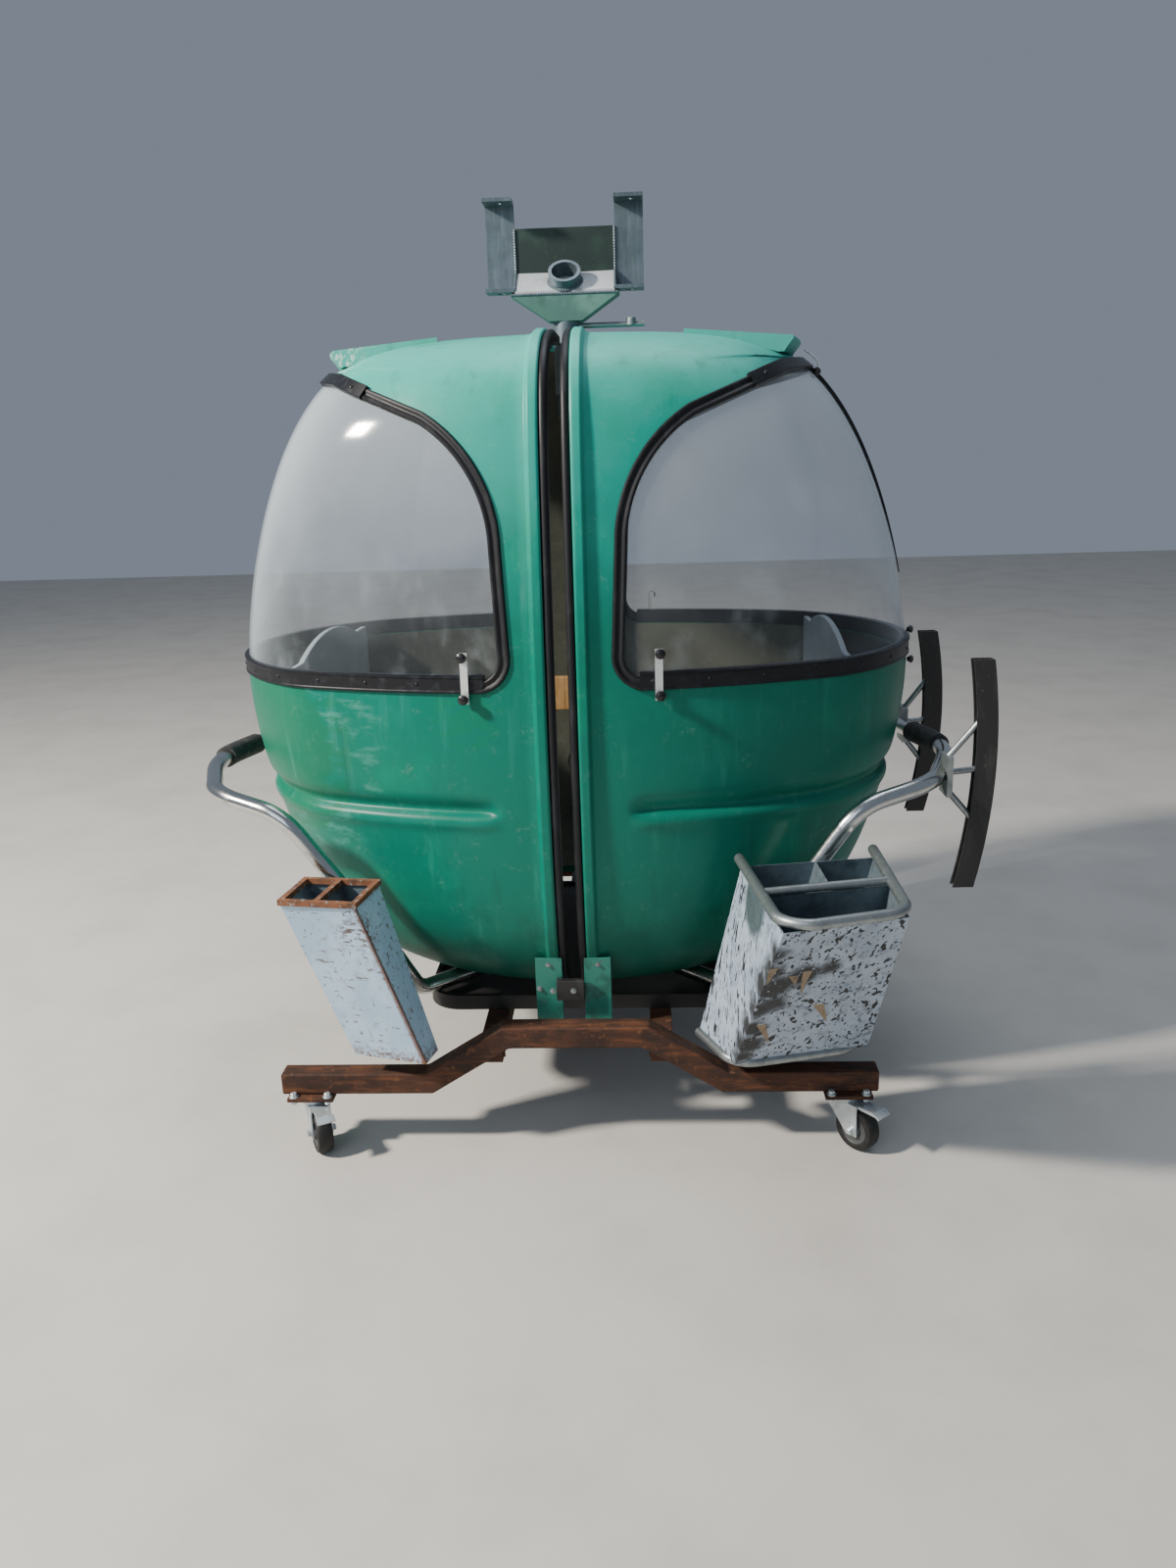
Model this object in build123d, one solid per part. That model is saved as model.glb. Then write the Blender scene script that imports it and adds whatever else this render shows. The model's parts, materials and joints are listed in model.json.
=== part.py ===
"""Egg-shaped cable car cabin in two half shells, standing on a wheeled steel trolley.

Millimetres, +Z up, floor at z = 0. X is the travel direction, the seam between the half
shells faces -Y and their common hinge line is at the back. The model is drawn with the
hanger on the Z axis and the half shells closed, then each half is swung to where it stands
and everything is moved so that the middle of the overall box lies on the Z axis.
"""

import os
from math import cos, hypot, radians, sin

from build123d import *

# Shell: outer sections, each a smooth oval (height, half length in X, half depth in Y)
shell_sections = [
    (330, 430, 400),
    (410, 584, 460),
    (520, 672, 490),
    (700, 742, 514),
    (1000, 796, 522),
    (1230, 768, 512),
    (1430, 708, 494),
    (1580, 634, 466),
    (1680, 550, 412),
    (1731, 455, 325),
    (1758, 290, 200),
]
oval_fullness = 0.749        # share of both half axes at the oval's shoulder
oval_corner = 0.47           # corner radius as a share of the half depth
shell_wall = 20
skin_gap = 0.4               # between pieces that follow the same curved wall
shell_floor_flange = 60
shell_bottom = shell_sections[0][0]
shell_top = shell_sections[-1][0]

# Seam: seals meet at the middle when the half shells are closed
seal_gap = 2.5
seal_width = 18
seal_inside = 14
seal_proud = 10
rib_width = 19
rib_height = 12
rib_flank = 22
rib_flank_height = 6
rib_back_end = 300
back_gap = 35                # half the slot at the back, round the post
back_gap_from = 250

# Mouldings on the shell
groove_height = 770
groove_width = 40
groove_depth = 9
groove_start = 140
visor_thickness = 36
visor_tip = (494, 205, 1738)  # upper corner of the lip
visor_middle_x = 532
visor_root = (250, 200)
visor_taper = 20
visor_slope = 5

# Window in each half: outline in the XZ plane, wraps round the end of the cabin
window_sill = 1032
window_edge_low = (94, 1115)
window_edge_high = (104, 1330)
window_shoulder = (150, 1490)
window_upper = (260, 1598)
window_top_inner = (460, 1681)
window_top_outer = (620, 1710)
window_corner = 66
window_side = 1000           # past the end of the cabin
pane_outside = 2
pane_inside = 7
profile_width = 26
profile_inside = 16
profile_proud = 6
sill_high = 1070
sill_start = 150
sill_proud = 8
clip_x = 190
clip_width = 16
clip_thickness = 5
clip_low = 1012
clip_high = 1118

# Roof opening round the hanger
roof_hole_radius = 55

# Foot plates and stop block at the foot of the seam
foot_plate_inner = 14
foot_plate_width = 60
foot_plate_front = -478
foot_plate_thickness = 12
foot_plate_low = 268
foot_plate_high = 420
stop_block_reach = 50
stop_block_thickness = 16
stop_block_gap = 5
stop_block_lap = 12
stop_block_low = 326
stop_block_height = 48

# Hinge line at the back and swing of each half
hinge_y = 565
hinge_heights = (560, 1440)
hinge_pin_radius = 8
hinge_knuckle_radius = 14
hinge_knuckle_length = 30
hinge_running_gap = 0.3
hinge_leaf_thickness = 8
hinge_leaf_reach = 95
ajar_angle = {"left": 0.9, "right": 0.3}

# Bench in each half
bench_front = 300
bench_seat_height = 720
bench_board = 14
bench_back_x = 606
bench_back_height = 1060
bench_hump = 42
bench_hump_half_width = 250

# Bumper tube round the end of each half
tube_radius = 19
tube_low = shell_bottom - tube_radius - skin_gap
tube_path = [                # corner points (x, y, z), then the bend radius there
    ((455, 424, 777), 0),
    ((763, 420, 795), 90),
    ((886, -140, 803), 380),
    ((786, -420, 797), 150),
    ((613, -490, 765), 120),
    ((432, -478, 500), 60),
    ((356, -402, tube_low), 45),
    ((232, -286, tube_low), 0),
]
tube_flange_radius = 38
tube_flange_share = 0.34      # where the flange sits, as a share of the tube's first straight run
tube_flange_turn = 38         # the wall's direction there, from +X
tube_flange_reach = 60        # half length of the blank that the flange is cut from
tube_flange_thickness = 8
sleeve_radius = 26
sleeve_range = (-105, 45)     # along Y

# Left basket: sheet box with a square-bar rim; corners front-inner, front-outer, back-outer, back-inner
left_basket_top_z = 634
left_basket_bottom_z = 236
left_basket_top = [(-417, -679), (-580, -657), (-564, -523), (-398, -542)]
left_basket_bottom = [(-305, -624), (-471, -580), (-457, -515), (-290, -559)]
left_basket_wall = 3
left_rim_bar = 12
left_divider_share = 0.52

# Right basket: sheet box with round-tube rims, same corner order
right_basket_top_z = 668
right_basket_bottom_z = 242
right_basket_top = [(400, -917), (643, -844), (645, -506), (357, -551)]
right_basket_bottom = [(337, -640), (632, -567), (566, -420), (270, -490)]
right_basket_wall = 3
right_rim_radius = 11
right_rim_corner = 60
right_rim_back_reach = 22
right_cross_share = 0.50
right_partition_share = 0.55
basket_clamp_heights = (395, 600)
basket_clamp_height = 40
basket_clamp_thickness = 6

# Guide bars beside the right half: (y, arc through three points in XZ)
guide_bar_arcs = [
    (-360, ((891, 1055), (908, 840), (873, 535))),
    (150, ((895, 1041), (916, 826), (881, 560))),
]
guide_bar_depth = 30
guide_bar_width = 46
guide_bar_wall = 6
guide_plate_size = (12, 66, 90)
strut_radius = 7
strut_heights = (950, 812, 665)
strut_spread = 0.25          # share of a strut's height kept at its root on the plate

# Hanger bracket, socket and gusset
channel_half_span = 181
channel_width = 66
channel_depth = 70
channel_wall = 8
channel_low = 1866
channel_high = 2064
channel_corner = 14
bracket_back_y = 45
flange_hole_radius = 9
bracket_plate_top = 2008
bracket_plate_bend = 1905
shelf_front_y = -25
socket_outer_radius = 37
socket_bore_radius = 29.5
socket_length = 38
socket_tilt = 45
gusset_half_top = 125
gusset_half_bottom = 38
gusset_low = 1800
gusset_depth_top = 70
gusset_depth_bottom = 60

# Hanger tube, roof arm and rear post inside the cabin
hanger_tube_radius = 30
post_size = 50
post_y = 450
roof_arm_z = 1640
board_width = 280
board_height = 96
board_thickness = 24
board_low = 800

# Roof lever
lever_radius = 6
lever_z = 1791
lever_reach = 181
lever_knob_x = 150
lever_knob_radius = 11

# Floor pan
pan_half_length = 360
pan_half_depth = 385
pan_corner = 80
pan_low = 250
pan_thickness = 35
pan_lip = 10
pan_tongue_half_width = 60
pan_tongue_end = 505

# Trolley
beam_size = 50
beam_y = 548
beam_low = 136
beam_half_length = 665
beam_lower_bend = 330
beam_upper_bend = 154
beam_rise = 110
rail_x = 190
rail_low = 200
castor_plate_size = (104, 84, 10)
castor_x = 598

# Castors: (name, x sign, y sign, direction of the trail in degrees)
castors = [
    ("front_left", -1, -1, -62),
    ("front_right", 1, -1, -48),
    ("rear_left", -1, 1, 115),
    ("rear_right", 1, 1, 70),
]
wheel_radius = 50
wheel_width = 36
wheel_bore = 6.3
hub_radius = 17
hub_width = 39
axle_radius = 6
castor_trail = 34
castor_head_radius = 31
castor_head_height = 13
castor_gap = 0.3
fork_sheet = 3
fork_inner = 20
fork_bridge_z = 105.5
pedal_reach = 92
pedal_width = 34


def box_between(low, high):
    """Axis-aligned block between two corners."""
    size = [h - l for l, h in zip(low, high)]
    middle = [(h + l) / 2 for l, h in zip(low, high)]
    return Pos(*middle) * Box(*size)


def rod(start, end, radius):
    """Round bar between two points."""
    start, end = Vector(*start), Vector(*end)
    plane = Plane(origin=start, z_dir=end - start)
    return Solid.make_cylinder(radius, (end - start).length, plane)


def oval_wire(half_length, half_depth, height):
    """Closed oval of eight tangent arcs: two flat sides, two ends, four corners.

    The corner circle touches the shoulder point, where the normal is the ellipse's own,
    and the side and end circles follow from tangency with it.
    """
    shoulder_x = oval_fullness * half_length
    shoulder_y = oval_fullness * half_depth
    norm = hypot(1 / half_length, 1 / half_depth)
    radius = oval_corner * half_depth
    centre_x = shoulder_x - radius / half_length / norm
    centre_y = shoulder_y - radius / half_depth / norm
    side_gap = half_depth - centre_y
    side_radius = (radius**2 - centre_x**2 - side_gap**2) / (2 * (radius - side_gap))
    end_gap = half_length - centre_x
    end_radius = (radius**2 - centre_y**2 - end_gap**2) / (2 * (radius - end_gap))

    def joint_point(cx, cy):
        """Where the corner circle meets the circle centred at (cx, cy)."""
        length = hypot(centre_x - cx, centre_y - cy)
        return (centre_x + radius * (centre_x - cx) / length, centre_y + radius * (centre_y - cy) / length)

    side_x, side_y = joint_point(0, half_depth - side_radius)
    end_x, end_y = joint_point(half_length - end_radius, 0)
    corners = [
        (side_x, -side_y), (shoulder_x, -shoulder_y), (end_x, -end_y),
        (half_length, 0), (end_x, end_y),
        (shoulder_x, shoulder_y), (side_x, side_y),
        (0, half_depth), (-side_x, side_y),
        (-shoulder_x, shoulder_y), (-end_x, end_y),
        (-half_length, 0), (-end_x, -end_y),
        (-shoulder_x, -shoulder_y), (-side_x, -side_y),
        (0, -half_depth), (side_x, -side_y),
    ]
    points = [Vector(x, y, height) for x, y in corners]
    arcs = [
        Edge.make_three_point_arc(points[i], points[i + 1], points[i + 2])
        for i in range(0, len(points) - 1, 2)
    ]
    return Wire(arcs)


def egg(offset):
    """Whole body grown outwards by an offset (inwards if negative)."""
    wires = []
    for height, half_length, half_depth in shell_sections:
        if height == shell_bottom:
            height -= offset
        if height == shell_top:
            height += offset
        wires.append(oval_wire(half_length + offset, half_depth + offset, height))
    return Solid.make_loft(wires)


def skin(inner, outer):
    """Layer of the body between two offsets."""
    return eggs[outer] - eggs[inner]


eggs = {
    amount: egg(amount)
    for amount in {
        -shell_wall - skin_gap, -shell_wall, -profile_inside, -seal_inside, -groove_depth, -pane_inside,
        -pane_outside, 0, skin_gap, rib_flank_height, profile_proud, sill_proud, sill_proud + skin_gap,
        sill_proud + clip_thickness, seal_proud, rib_height, rib_height + skin_gap, tube_flange_thickness,
    }
}


def window_prism(inset):
    """Block along Y with the window's outline, its edge moved inwards by the inset."""
    edge_x, edge_z = window_edge_low
    with BuildLine(Plane.XZ) as outline:
        bottom = Polyline((window_side, window_sill), (edge_x + window_corner, window_sill))
        RadiusArc(bottom @ 1, (edge_x, window_sill + window_corner + 15), window_corner + 5)
        Line((edge_x, window_sill + window_corner + 15), window_edge_high)
        ThreePointArc(window_edge_high, window_shoulder, window_upper)
        Polyline(window_upper, window_top_inner, window_top_outer, (window_side, window_top_outer[1]),
                 (window_side, window_sill))
    face = make_face(outline.line)
    if inset:
        face = offset(face, -inset)
    return extrude(face, amount=window_side, both=True)


def half_space(inner, y_to=2000):
    """Block that keeps the right half beyond the given distance from the seam plane."""
    return box_between((inner, -2000, 0), (2000, y_to, 3000))


def make_visor():
    """Lip that stands out over the window at the roof's end, sharp-tipped and cut back below."""
    tip_x, tip_y, tip_z = visor_tip
    root_x, root_y = visor_root

    def plan(height, inset):
        with BuildSketch(Plane.XY.offset(height)) as sketch:
            with BuildLine():
                Polyline((root_x - tip_x, -root_y), (-inset, -tip_y))
                ThreePointArc((-inset, -tip_y), (visor_middle_x - tip_x - inset, 0), (-inset, tip_y))
                Polyline((-inset, tip_y), (root_x - tip_x, root_y), (root_x - tip_x, -root_y))
            make_face()
        return sketch.sketch

    lip = loft([plan(-visor_thickness, visor_taper), plan(0, 0)], ruled=True)
    return Pos(tip_x, 0, tip_z) * Rot(0, visor_slope, 0) * lip - eggs[-groove_depth]


def make_shell():
    """Right half shell with its floor flange, seam ribs, groove, visor and window opening."""
    rib_inner = seal_gap + seal_width + skin_gap
    flank_inner = rib_inner + rib_width
    half = skin(-shell_wall, 0)
    half += skin(-groove_depth, rib_height) & box_between(
        (rib_inner, -2000, shell_bottom), (flank_inner, rib_back_end, 3000))
    half += skin(-groove_depth, rib_flank_height) & box_between(
        (rib_inner, -2000, shell_bottom), (flank_inner + rib_flank, rib_back_end, 3000))
    half &= half_space(rib_inner)
    half -= box_between((-back_gap, back_gap_from, 0), (back_gap, 2000, 3000))
    half += make_visor()
    half -= window_prism(0)
    half -= Pos(0, 0, shell_top) * Cylinder(roof_hole_radius, 400)
    length, depth = shell_sections[0][1] - shell_floor_flange, shell_sections[0][2] - shell_floor_flange
    half -= Solid.extrude(Face(oval_wire(length, depth, shell_bottom - 50)), Vector(0, 0, 100))
    groove = skin(-groove_depth, rib_height) & box_between(
        (groove_start, -2000, groove_height - groove_width / 2), (2000, 2000, groove_height + groove_width / 2))
    return half - groove


def make_window():
    """Wrap-round acrylic pane inside the rubber profile."""
    above_sill = box_between((0, -2000, sill_high + skin_gap), (2000, 2000, 3000))
    return skin(-pane_inside, -pane_outside) & (window_prism(profile_width + skin_gap) & above_sill)


def sill_band(margin):
    """Block round the sill trim along the foot of the window, smaller by the margin."""
    return box_between((sill_start + margin, -2000, window_sill + margin), (2000, 2000, sill_high))


def make_window_profile():
    """Rubber profile between shell and pane, up from the sill trim and over the top."""
    ring = window_prism(skin_gap) - window_prism(profile_width) - sill_band(0)
    return skin(-profile_inside, profile_proud) & ring


def make_sill_trim():
    """Black rail along the foot of the window, round the end of the half."""
    return skin(-profile_inside, sill_proud) & (sill_band(skin_gap) & window_prism(skin_gap))


def make_clips():
    """Straps over the sill trim near the seam, front and back."""
    low, high = clip_x - clip_width / 2, clip_x + clip_width / 2
    strap = box_between((low, -2000, clip_low), (high, 2000, clip_high))
    return (eggs[sill_proud + clip_thickness] & strap) - eggs[sill_proud + skin_gap]


def make_seal():
    """Rubber strip along the meeting edge, over the front and the roof."""
    strip = skin(-seal_inside, seal_proud) & box_between(
        (seal_gap, -2000, shell_bottom), (seal_gap + seal_width, rib_back_end, 3000))
    strip -= box_between((-back_gap, back_gap_from, 0), (back_gap, 2000, 3000))
    return strip - Pos(0, 0, shell_top) * Cylinder(roof_hole_radius, 400)


def make_foot_plate():
    """Flat plate that hangs from the foot of the seam rib, packed out to the shell behind."""
    outer = foot_plate_inner + foot_plate_width
    plate = box_between((foot_plate_inner, foot_plate_front, foot_plate_low),
                        (outer, foot_plate_front + foot_plate_thickness, foot_plate_high))
    packing = box_between((foot_plate_inner, foot_plate_front, shell_bottom),
                          (outer, -shell_sections[0][2], foot_plate_high))
    return (plate + packing) - eggs[rib_height + skin_gap]


def make_stop_block():
    """Block on the left foot plate that laps over the right one."""
    block_back = foot_plate_front - stop_block_gap
    block = box_between(
        (-foot_plate_inner - stop_block_lap, block_back - stop_block_thickness, stop_block_low),
        (stop_block_reach - foot_plate_inner, block_back, stop_block_low + stop_block_height))
    return block + box_between(
        (-foot_plate_inner - stop_block_lap, block_back, stop_block_low),
        (-foot_plate_inner, foot_plate_front, stop_block_low + stop_block_height))


def make_hinge_leaves(level):
    """Knuckles on the hinge line with a leaf out to the shell's back wall."""
    leaves = []
    for height in hinge_heights:
        low = height + level * (hinge_knuckle_length + hinge_running_gap) - hinge_knuckle_length / 2
        knuckle = Pos(0, hinge_y, low + hinge_knuckle_length / 2) * Cylinder(
            hinge_knuckle_radius, hinge_knuckle_length)
        leaf = box_between((0, hinge_y - hinge_leaf_thickness / 2, low),
                           (hinge_leaf_reach, hinge_y + hinge_leaf_thickness / 2, low + hinge_knuckle_length))
        web = box_between((hinge_leaf_reach - hinge_leaf_thickness, 0, low),
                          (hinge_leaf_reach, hinge_y, low + hinge_knuckle_length)) - eggs[skin_gap]
        hole = Pos(0, hinge_y, height) * Cylinder(hinge_pin_radius + 0.1, 200)
        leaves.append((knuckle + leaf + web) - hole)
    return Compound(leaves)


def make_bench():
    """Moulded bench: front panel, seat and a back with a humped top, fitted to the shell's inside."""
    inside = eggs[-shell_wall - skin_gap]
    panel = box_between((bench_front, -2000, shell_bottom + shell_wall),
                        (bench_front + bench_board, 2000, bench_seat_height))
    seat = box_between((bench_front, -2000, bench_seat_height - bench_board),
                       (2000, 2000, bench_seat_height))
    back = box_between((bench_back_x, -2000, bench_seat_height),
                       (bench_back_x + bench_board, 2000, bench_back_height))
    with BuildPart() as hump:
        with BuildSketch(Plane.YZ.offset(bench_back_x)):
            with BuildLine():
                Polyline((-bench_hump_half_width, bench_back_height), (bench_hump_half_width, bench_back_height))
                ThreePointArc((-bench_hump_half_width, bench_back_height), (0, bench_back_height + bench_hump),
                              (bench_hump_half_width, bench_back_height))
            make_face()
        extrude(amount=bench_board)
    return (panel + seat + back + hump.part) & inside


def tube_line(points_and_radii):
    """Path of straight runs joined by tangent arcs."""
    points = [point for point, _ in points_and_radii]
    radii = [radius for _, radius in points_and_radii[1:-1]]
    return FilletPolyline(*points, radius=radii)


def tube_bar(radius=tube_radius):
    """Round bar along the tube's whole path."""
    path = tube_line(tube_path)
    return sweep(Plane(origin=path @ 0, z_dir=path % 0) * Circle(radius), path=path)


def make_bumper_tube():
    """Bright tube from the back wall round the end and down under the shell's floor, with its flange."""
    outwards = Vector(cos(radians(tube_flange_turn)), sin(radians(tube_flange_turn)), 0)
    seat = Vector(between(tube_path[0][0], tube_path[1][0], tube_flange_share)) - outwards * tube_flange_reach
    blank = Solid.make_cylinder(tube_flange_radius, 2 * tube_flange_reach, Plane(origin=seat, z_dir=outwards))
    return (tube_bar() - eggs[skin_gap]) + (skin(skin_gap, tube_flange_thickness) & blank)


def make_sleeve():
    """Rubber sleeve on the tube's long bend beside the cabin's end."""
    low, high = sleeve_range
    stretch = box_between((tube_path[2][0][0] / 2, low, 0), (2000, high, 2000))
    return (tube_bar(sleeve_radius) & stretch) - tube_bar(tube_radius + skin_gap)


def quad_outline(points, height, inset=0):
    """Flat four-cornered face at a height."""
    face = make_face(Polyline(*points, close=True))
    if inset:
        face = offset(face, -inset, kind=Kind.INTERSECTION)
    return Pos(0, 0, height) * face


def quad_block(bottom, bottom_z, top, top_z, inset=0):
    """Solid lofted between two four-cornered outlines."""
    return loft([quad_outline(bottom, bottom_z, inset), quad_outline(top, top_z, inset)], ruled=True)


def quad_box(bottom, bottom_z, top, top_z, wall):
    """Open sheet box with its floor."""
    return quad_block(bottom, bottom_z, top, top_z) - quad_block(bottom, bottom_z + wall, top, top_z + wall, wall)


def between(start, end, share):
    """Point at a share of the way from one corner to another."""
    return tuple(s + share * (e - s) for s, e in zip(start, end))


def sheet_wall(bottom_line, bottom_z, top_line, top_z, wall):
    """Upright sheet between a line near the box's floor and a line near its rim."""
    def strip(line, height):
        (x0, y0), (x1, y1) = line
        length = hypot(x1 - x0, y1 - y0)
        nx, ny = -(y1 - y0) / length * wall / 2, (x1 - x0) / length * wall / 2
        corners = [(x0 + nx, y0 + ny), (x1 + nx, y1 + ny), (x1 - nx, y1 - ny), (x0 - nx, y0 - ny)]
        return Pos(0, 0, height) * make_face(Polyline(*corners, close=True))

    return loft([strip(bottom_line, bottom_z), strip(top_line, top_z)], ruled=True)


def make_left_basket():
    """Narrow sheet box with one divider."""
    box = quad_box(left_basket_bottom, left_basket_bottom_z, left_basket_top, left_basket_top_z - left_rim_bar,
                   left_basket_wall)
    bottom_line = [between(left_basket_bottom[0], left_basket_bottom[1], left_divider_share),
                   between(left_basket_bottom[3], left_basket_bottom[2], left_divider_share)]
    top_line = [between(left_basket_top[0], left_basket_top[1], left_divider_share),
                between(left_basket_top[3], left_basket_top[2], left_divider_share)]
    return box + sheet_wall(bottom_line, left_basket_bottom_z + left_basket_wall / 2, top_line,
                            left_basket_top_z - left_rim_bar, left_basket_wall)


def make_left_rim():
    """Square-bar frame on top of the left basket, with the divider's bar."""
    face = make_face(Polyline(*left_basket_top, close=True))
    ring = offset(face, left_rim_bar / 3, kind=Kind.INTERSECTION) - offset(
        face, -2 * left_rim_bar / 3, kind=Kind.INTERSECTION)
    middle_front = between(left_basket_top[0], left_basket_top[1], left_divider_share)
    middle_back = between(left_basket_top[3], left_basket_top[2], left_divider_share)
    (x0, y0), (x1, y1) = middle_front, middle_back
    half = left_rim_bar / 2
    bar = make_face(Polyline((x0 - half, y0 + half), (x0 + half, y0 + half), (x1 + half, y1 - half),
                             (x1 - half, y1 - half), close=True))
    return Pos(0, 0, left_basket_top_z - left_rim_bar) * extrude(ring + bar, amount=left_rim_bar)


def make_right_basket():
    """Wide sheet box: one front bay, two back bays."""
    top_z = right_basket_top_z - right_rim_radius
    box = quad_box(right_basket_bottom, right_basket_bottom_z, right_basket_top, top_z, right_basket_wall)
    low, high = right_basket_bottom, right_basket_top
    cross_low = [between(low[0], low[3], right_cross_share), between(low[1], low[2], right_cross_share)]
    cross_high = [between(high[0], high[3], right_cross_share), between(high[1], high[2], right_cross_share)]
    floor = right_basket_bottom_z + right_basket_wall / 2
    box += sheet_wall(cross_low, floor, cross_high, top_z, right_basket_wall)
    part_low = [between(*cross_low, right_partition_share), between(low[3], low[2], right_partition_share)]
    part_high = [between(*cross_high, right_partition_share), between(high[3], high[2], right_partition_share)]
    return box + sheet_wall(part_low, floor, part_high, top_z, right_basket_wall)


def rim_tube(corners, height, back_reach):
    """Round tube round the two sides and the front, with rounded corners and open at the back."""
    inner_front, outer_front, outer_back, inner_back = corners
    def past(start, end):
        length = hypot(end[0] - start[0], end[1] - start[1])
        return tuple(e + back_reach * (e - s) / length for s, e in zip(start, end))
    points = [past(inner_front, inner_back), inner_front, outer_front, past(outer_front, outer_back)]
    path = FilletPolyline(*[(x, y, height) for x, y in points], radius=right_rim_corner)
    start = Plane(origin=path @ 0, z_dir=path % 0)
    return sweep(start * Circle(right_rim_radius), path=path)


def make_right_rims():
    """Top and bottom rim tubes and the bar over the cross wall."""
    top = rim_tube(right_basket_top, right_basket_top_z, right_rim_back_reach)
    cross_start = between(right_basket_top[0], right_basket_top[3], right_cross_share)
    cross_end = between(right_basket_top[1], right_basket_top[2], right_cross_share)
    top += rod((*cross_start, right_basket_top_z), (*cross_end, right_basket_top_z), right_rim_radius - 2)
    bottom = rim_tube(right_basket_bottom, right_basket_bottom_z, 0)
    body = quad_block(right_basket_bottom, right_basket_bottom_z, right_basket_top,
                      right_basket_top_z - right_rim_radius)
    return Compound([top - body, bottom - body])


def make_basket_clamps(bottom, bottom_z, top, top_z):
    """Straps that carry a basket on the tube behind it, at two heights."""
    path = tube_line(tube_path)
    samples = [path @ (step / 400) for step in range(401)]
    body = quad_block(bottom, bottom_z, top, top_z)
    tube = tube_bar()
    straps = []
    for height in basket_clamp_heights:
        centre = min((p for p in samples if p.Y < bottom[2][1] / 2), key=lambda p: abs(p.Z - height))
        share = (height - bottom_z) / (top_z - bottom_z)
        inner = between(bottom[3], top[3], share)
        outer = between(bottom[2], top[2], share)
        along = (centre.X - inner[0]) / (outer[0] - inner[0])
        wall_y = inner[1] + along * (outer[1] - inner[1])
        strap = box_between(
            (centre.X - basket_clamp_thickness / 2, wall_y - basket_clamp_thickness,
             height - basket_clamp_height / 2),
            (centre.X + basket_clamp_thickness / 2, centre.Y, height + basket_clamp_height / 2))
        straps.append(max((strap - body - tube).solids(), key=lambda piece: piece.volume))
    return Compound(straps)


def guide_strip(arc, inner, outer, depth):
    """Plate between two copies of a guide bar's arc, moved in X, as deep in Y as given."""
    with BuildSketch(Plane.XZ) as sketch:
        with BuildLine():
            first = ThreePointArc(*[(x + inner, z) for x, z in arc])
            second = ThreePointArc(*[(x + outer, z) for x, z in arc])
            Line(first @ 0, second @ 0)
            Line(first @ 1, second @ 1)
        make_face()
    return extrude(sketch.sketch, amount=depth / 2, both=True)


def guide_channel(y, arc):
    """One guide bar: curved channel, open towards the cabin."""
    half = guide_bar_width / 2
    bar = guide_strip(arc, -half, half, guide_bar_depth)
    pocket = guide_strip(arc, -half - guide_bar_wall, half - guide_bar_wall, guide_bar_depth - 2 * guide_bar_wall)
    return Pos(0, y, 0) * (bar - pocket)


def make_guide_bars():
    """Two curved channels beside the right half."""
    return Compound([guide_channel(y, arc) for y, arc in guide_bar_arcs])


def make_guide_brackets():
    """Plate on the tube and three struts to each guide bar."""
    path = tube_line(tube_path)
    samples = [path @ (step / 800) for step in range(801)]
    end_side = [p for p in samples if p.X > tube_path[1][0][0]]
    tube = tube_bar()
    thickness, length, height = guide_plate_size
    pieces = []
    for y, arc in guide_bar_arcs:
        seat = min(end_side, key=lambda p: abs(p.Y - y))
        plate_x = seat.X + tube_radius
        piece = box_between((plate_x - thickness / 2, y - length / 2, seat.Z - height / 2),
                            (plate_x + thickness / 2, y + length / 2, seat.Z + height / 2))
        web = ThreePointArc(*[(x + guide_bar_width / 2 - guide_bar_wall, z) for x, z in arc])
        for level in strut_heights:
            near = min((web @ (step / 200) for step in range(201)), key=lambda p: abs(p.Y - level))
            root_z = seat.Z + (level - seat.Z) * strut_spread
            piece += rod((plate_x, y, root_z), (near.X, y, near.Y), strut_radius)
        pieces.append(piece - guide_channel(y, arc) - tube)
    return Compound(pieces)


def make_hanger_bracket():
    """Two upright channels with bolt flanges, the plate between them and its sloped shelf."""
    channels = []
    for side in (-1, 1):
        outer = side * channel_half_span
        inner = side * (channel_half_span - channel_width)
        low_x, high_x = sorted((outer, inner))
        front = bracket_back_y - channel_depth
        block = box_between((low_x, front, channel_low), (high_x, bracket_back_y, channel_high))
        upright = block.edges().filter_by(Axis.X).group_by(Axis.Y)[-1]
        block = fillet(upright, channel_corner)
        hollow = box_between((low_x - 1, front - 1, channel_low + channel_wall),
                             (high_x + 1, bracket_back_y - channel_wall, channel_high - channel_wall))
        channel = block - hollow
        hole = Pos((low_x + high_x) / 2, front + channel_depth * 0.45, (channel_low + channel_high) / 2)
        channels.append(channel - hole * Cylinder(flange_hole_radius, 400))
    inner_x = channel_half_span - channel_width
    plate_front = bracket_back_y - channel_wall
    with BuildSketch(Plane.YZ) as section:
        with BuildLine():
            Polyline((bracket_back_y, bracket_plate_top), (bracket_back_y, bracket_plate_bend),
                     (shelf_front_y, channel_low - channel_wall), (shelf_front_y, channel_low),
                     (plate_front, bracket_plate_bend + channel_wall), (plate_front, bracket_plate_top),
                     close=True)
        make_face()
    plate = extrude(section.sketch, amount=inner_x, both=True)
    bracket = channels[0] + plate + channels[1]
    return bracket - socket_bar(socket_outer_radius)


def socket_bar(radius, length=socket_length):
    """Bar on the socket's axis, which leans forward out of the shelf."""
    foot = (0, 12, channel_low + 16)
    direction = Vector(0, -sin(radians(socket_tilt)), cos(radians(socket_tilt)))
    return Solid.make_cylinder(radius, length, Plane(origin=foot, z_dir=direction))


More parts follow.
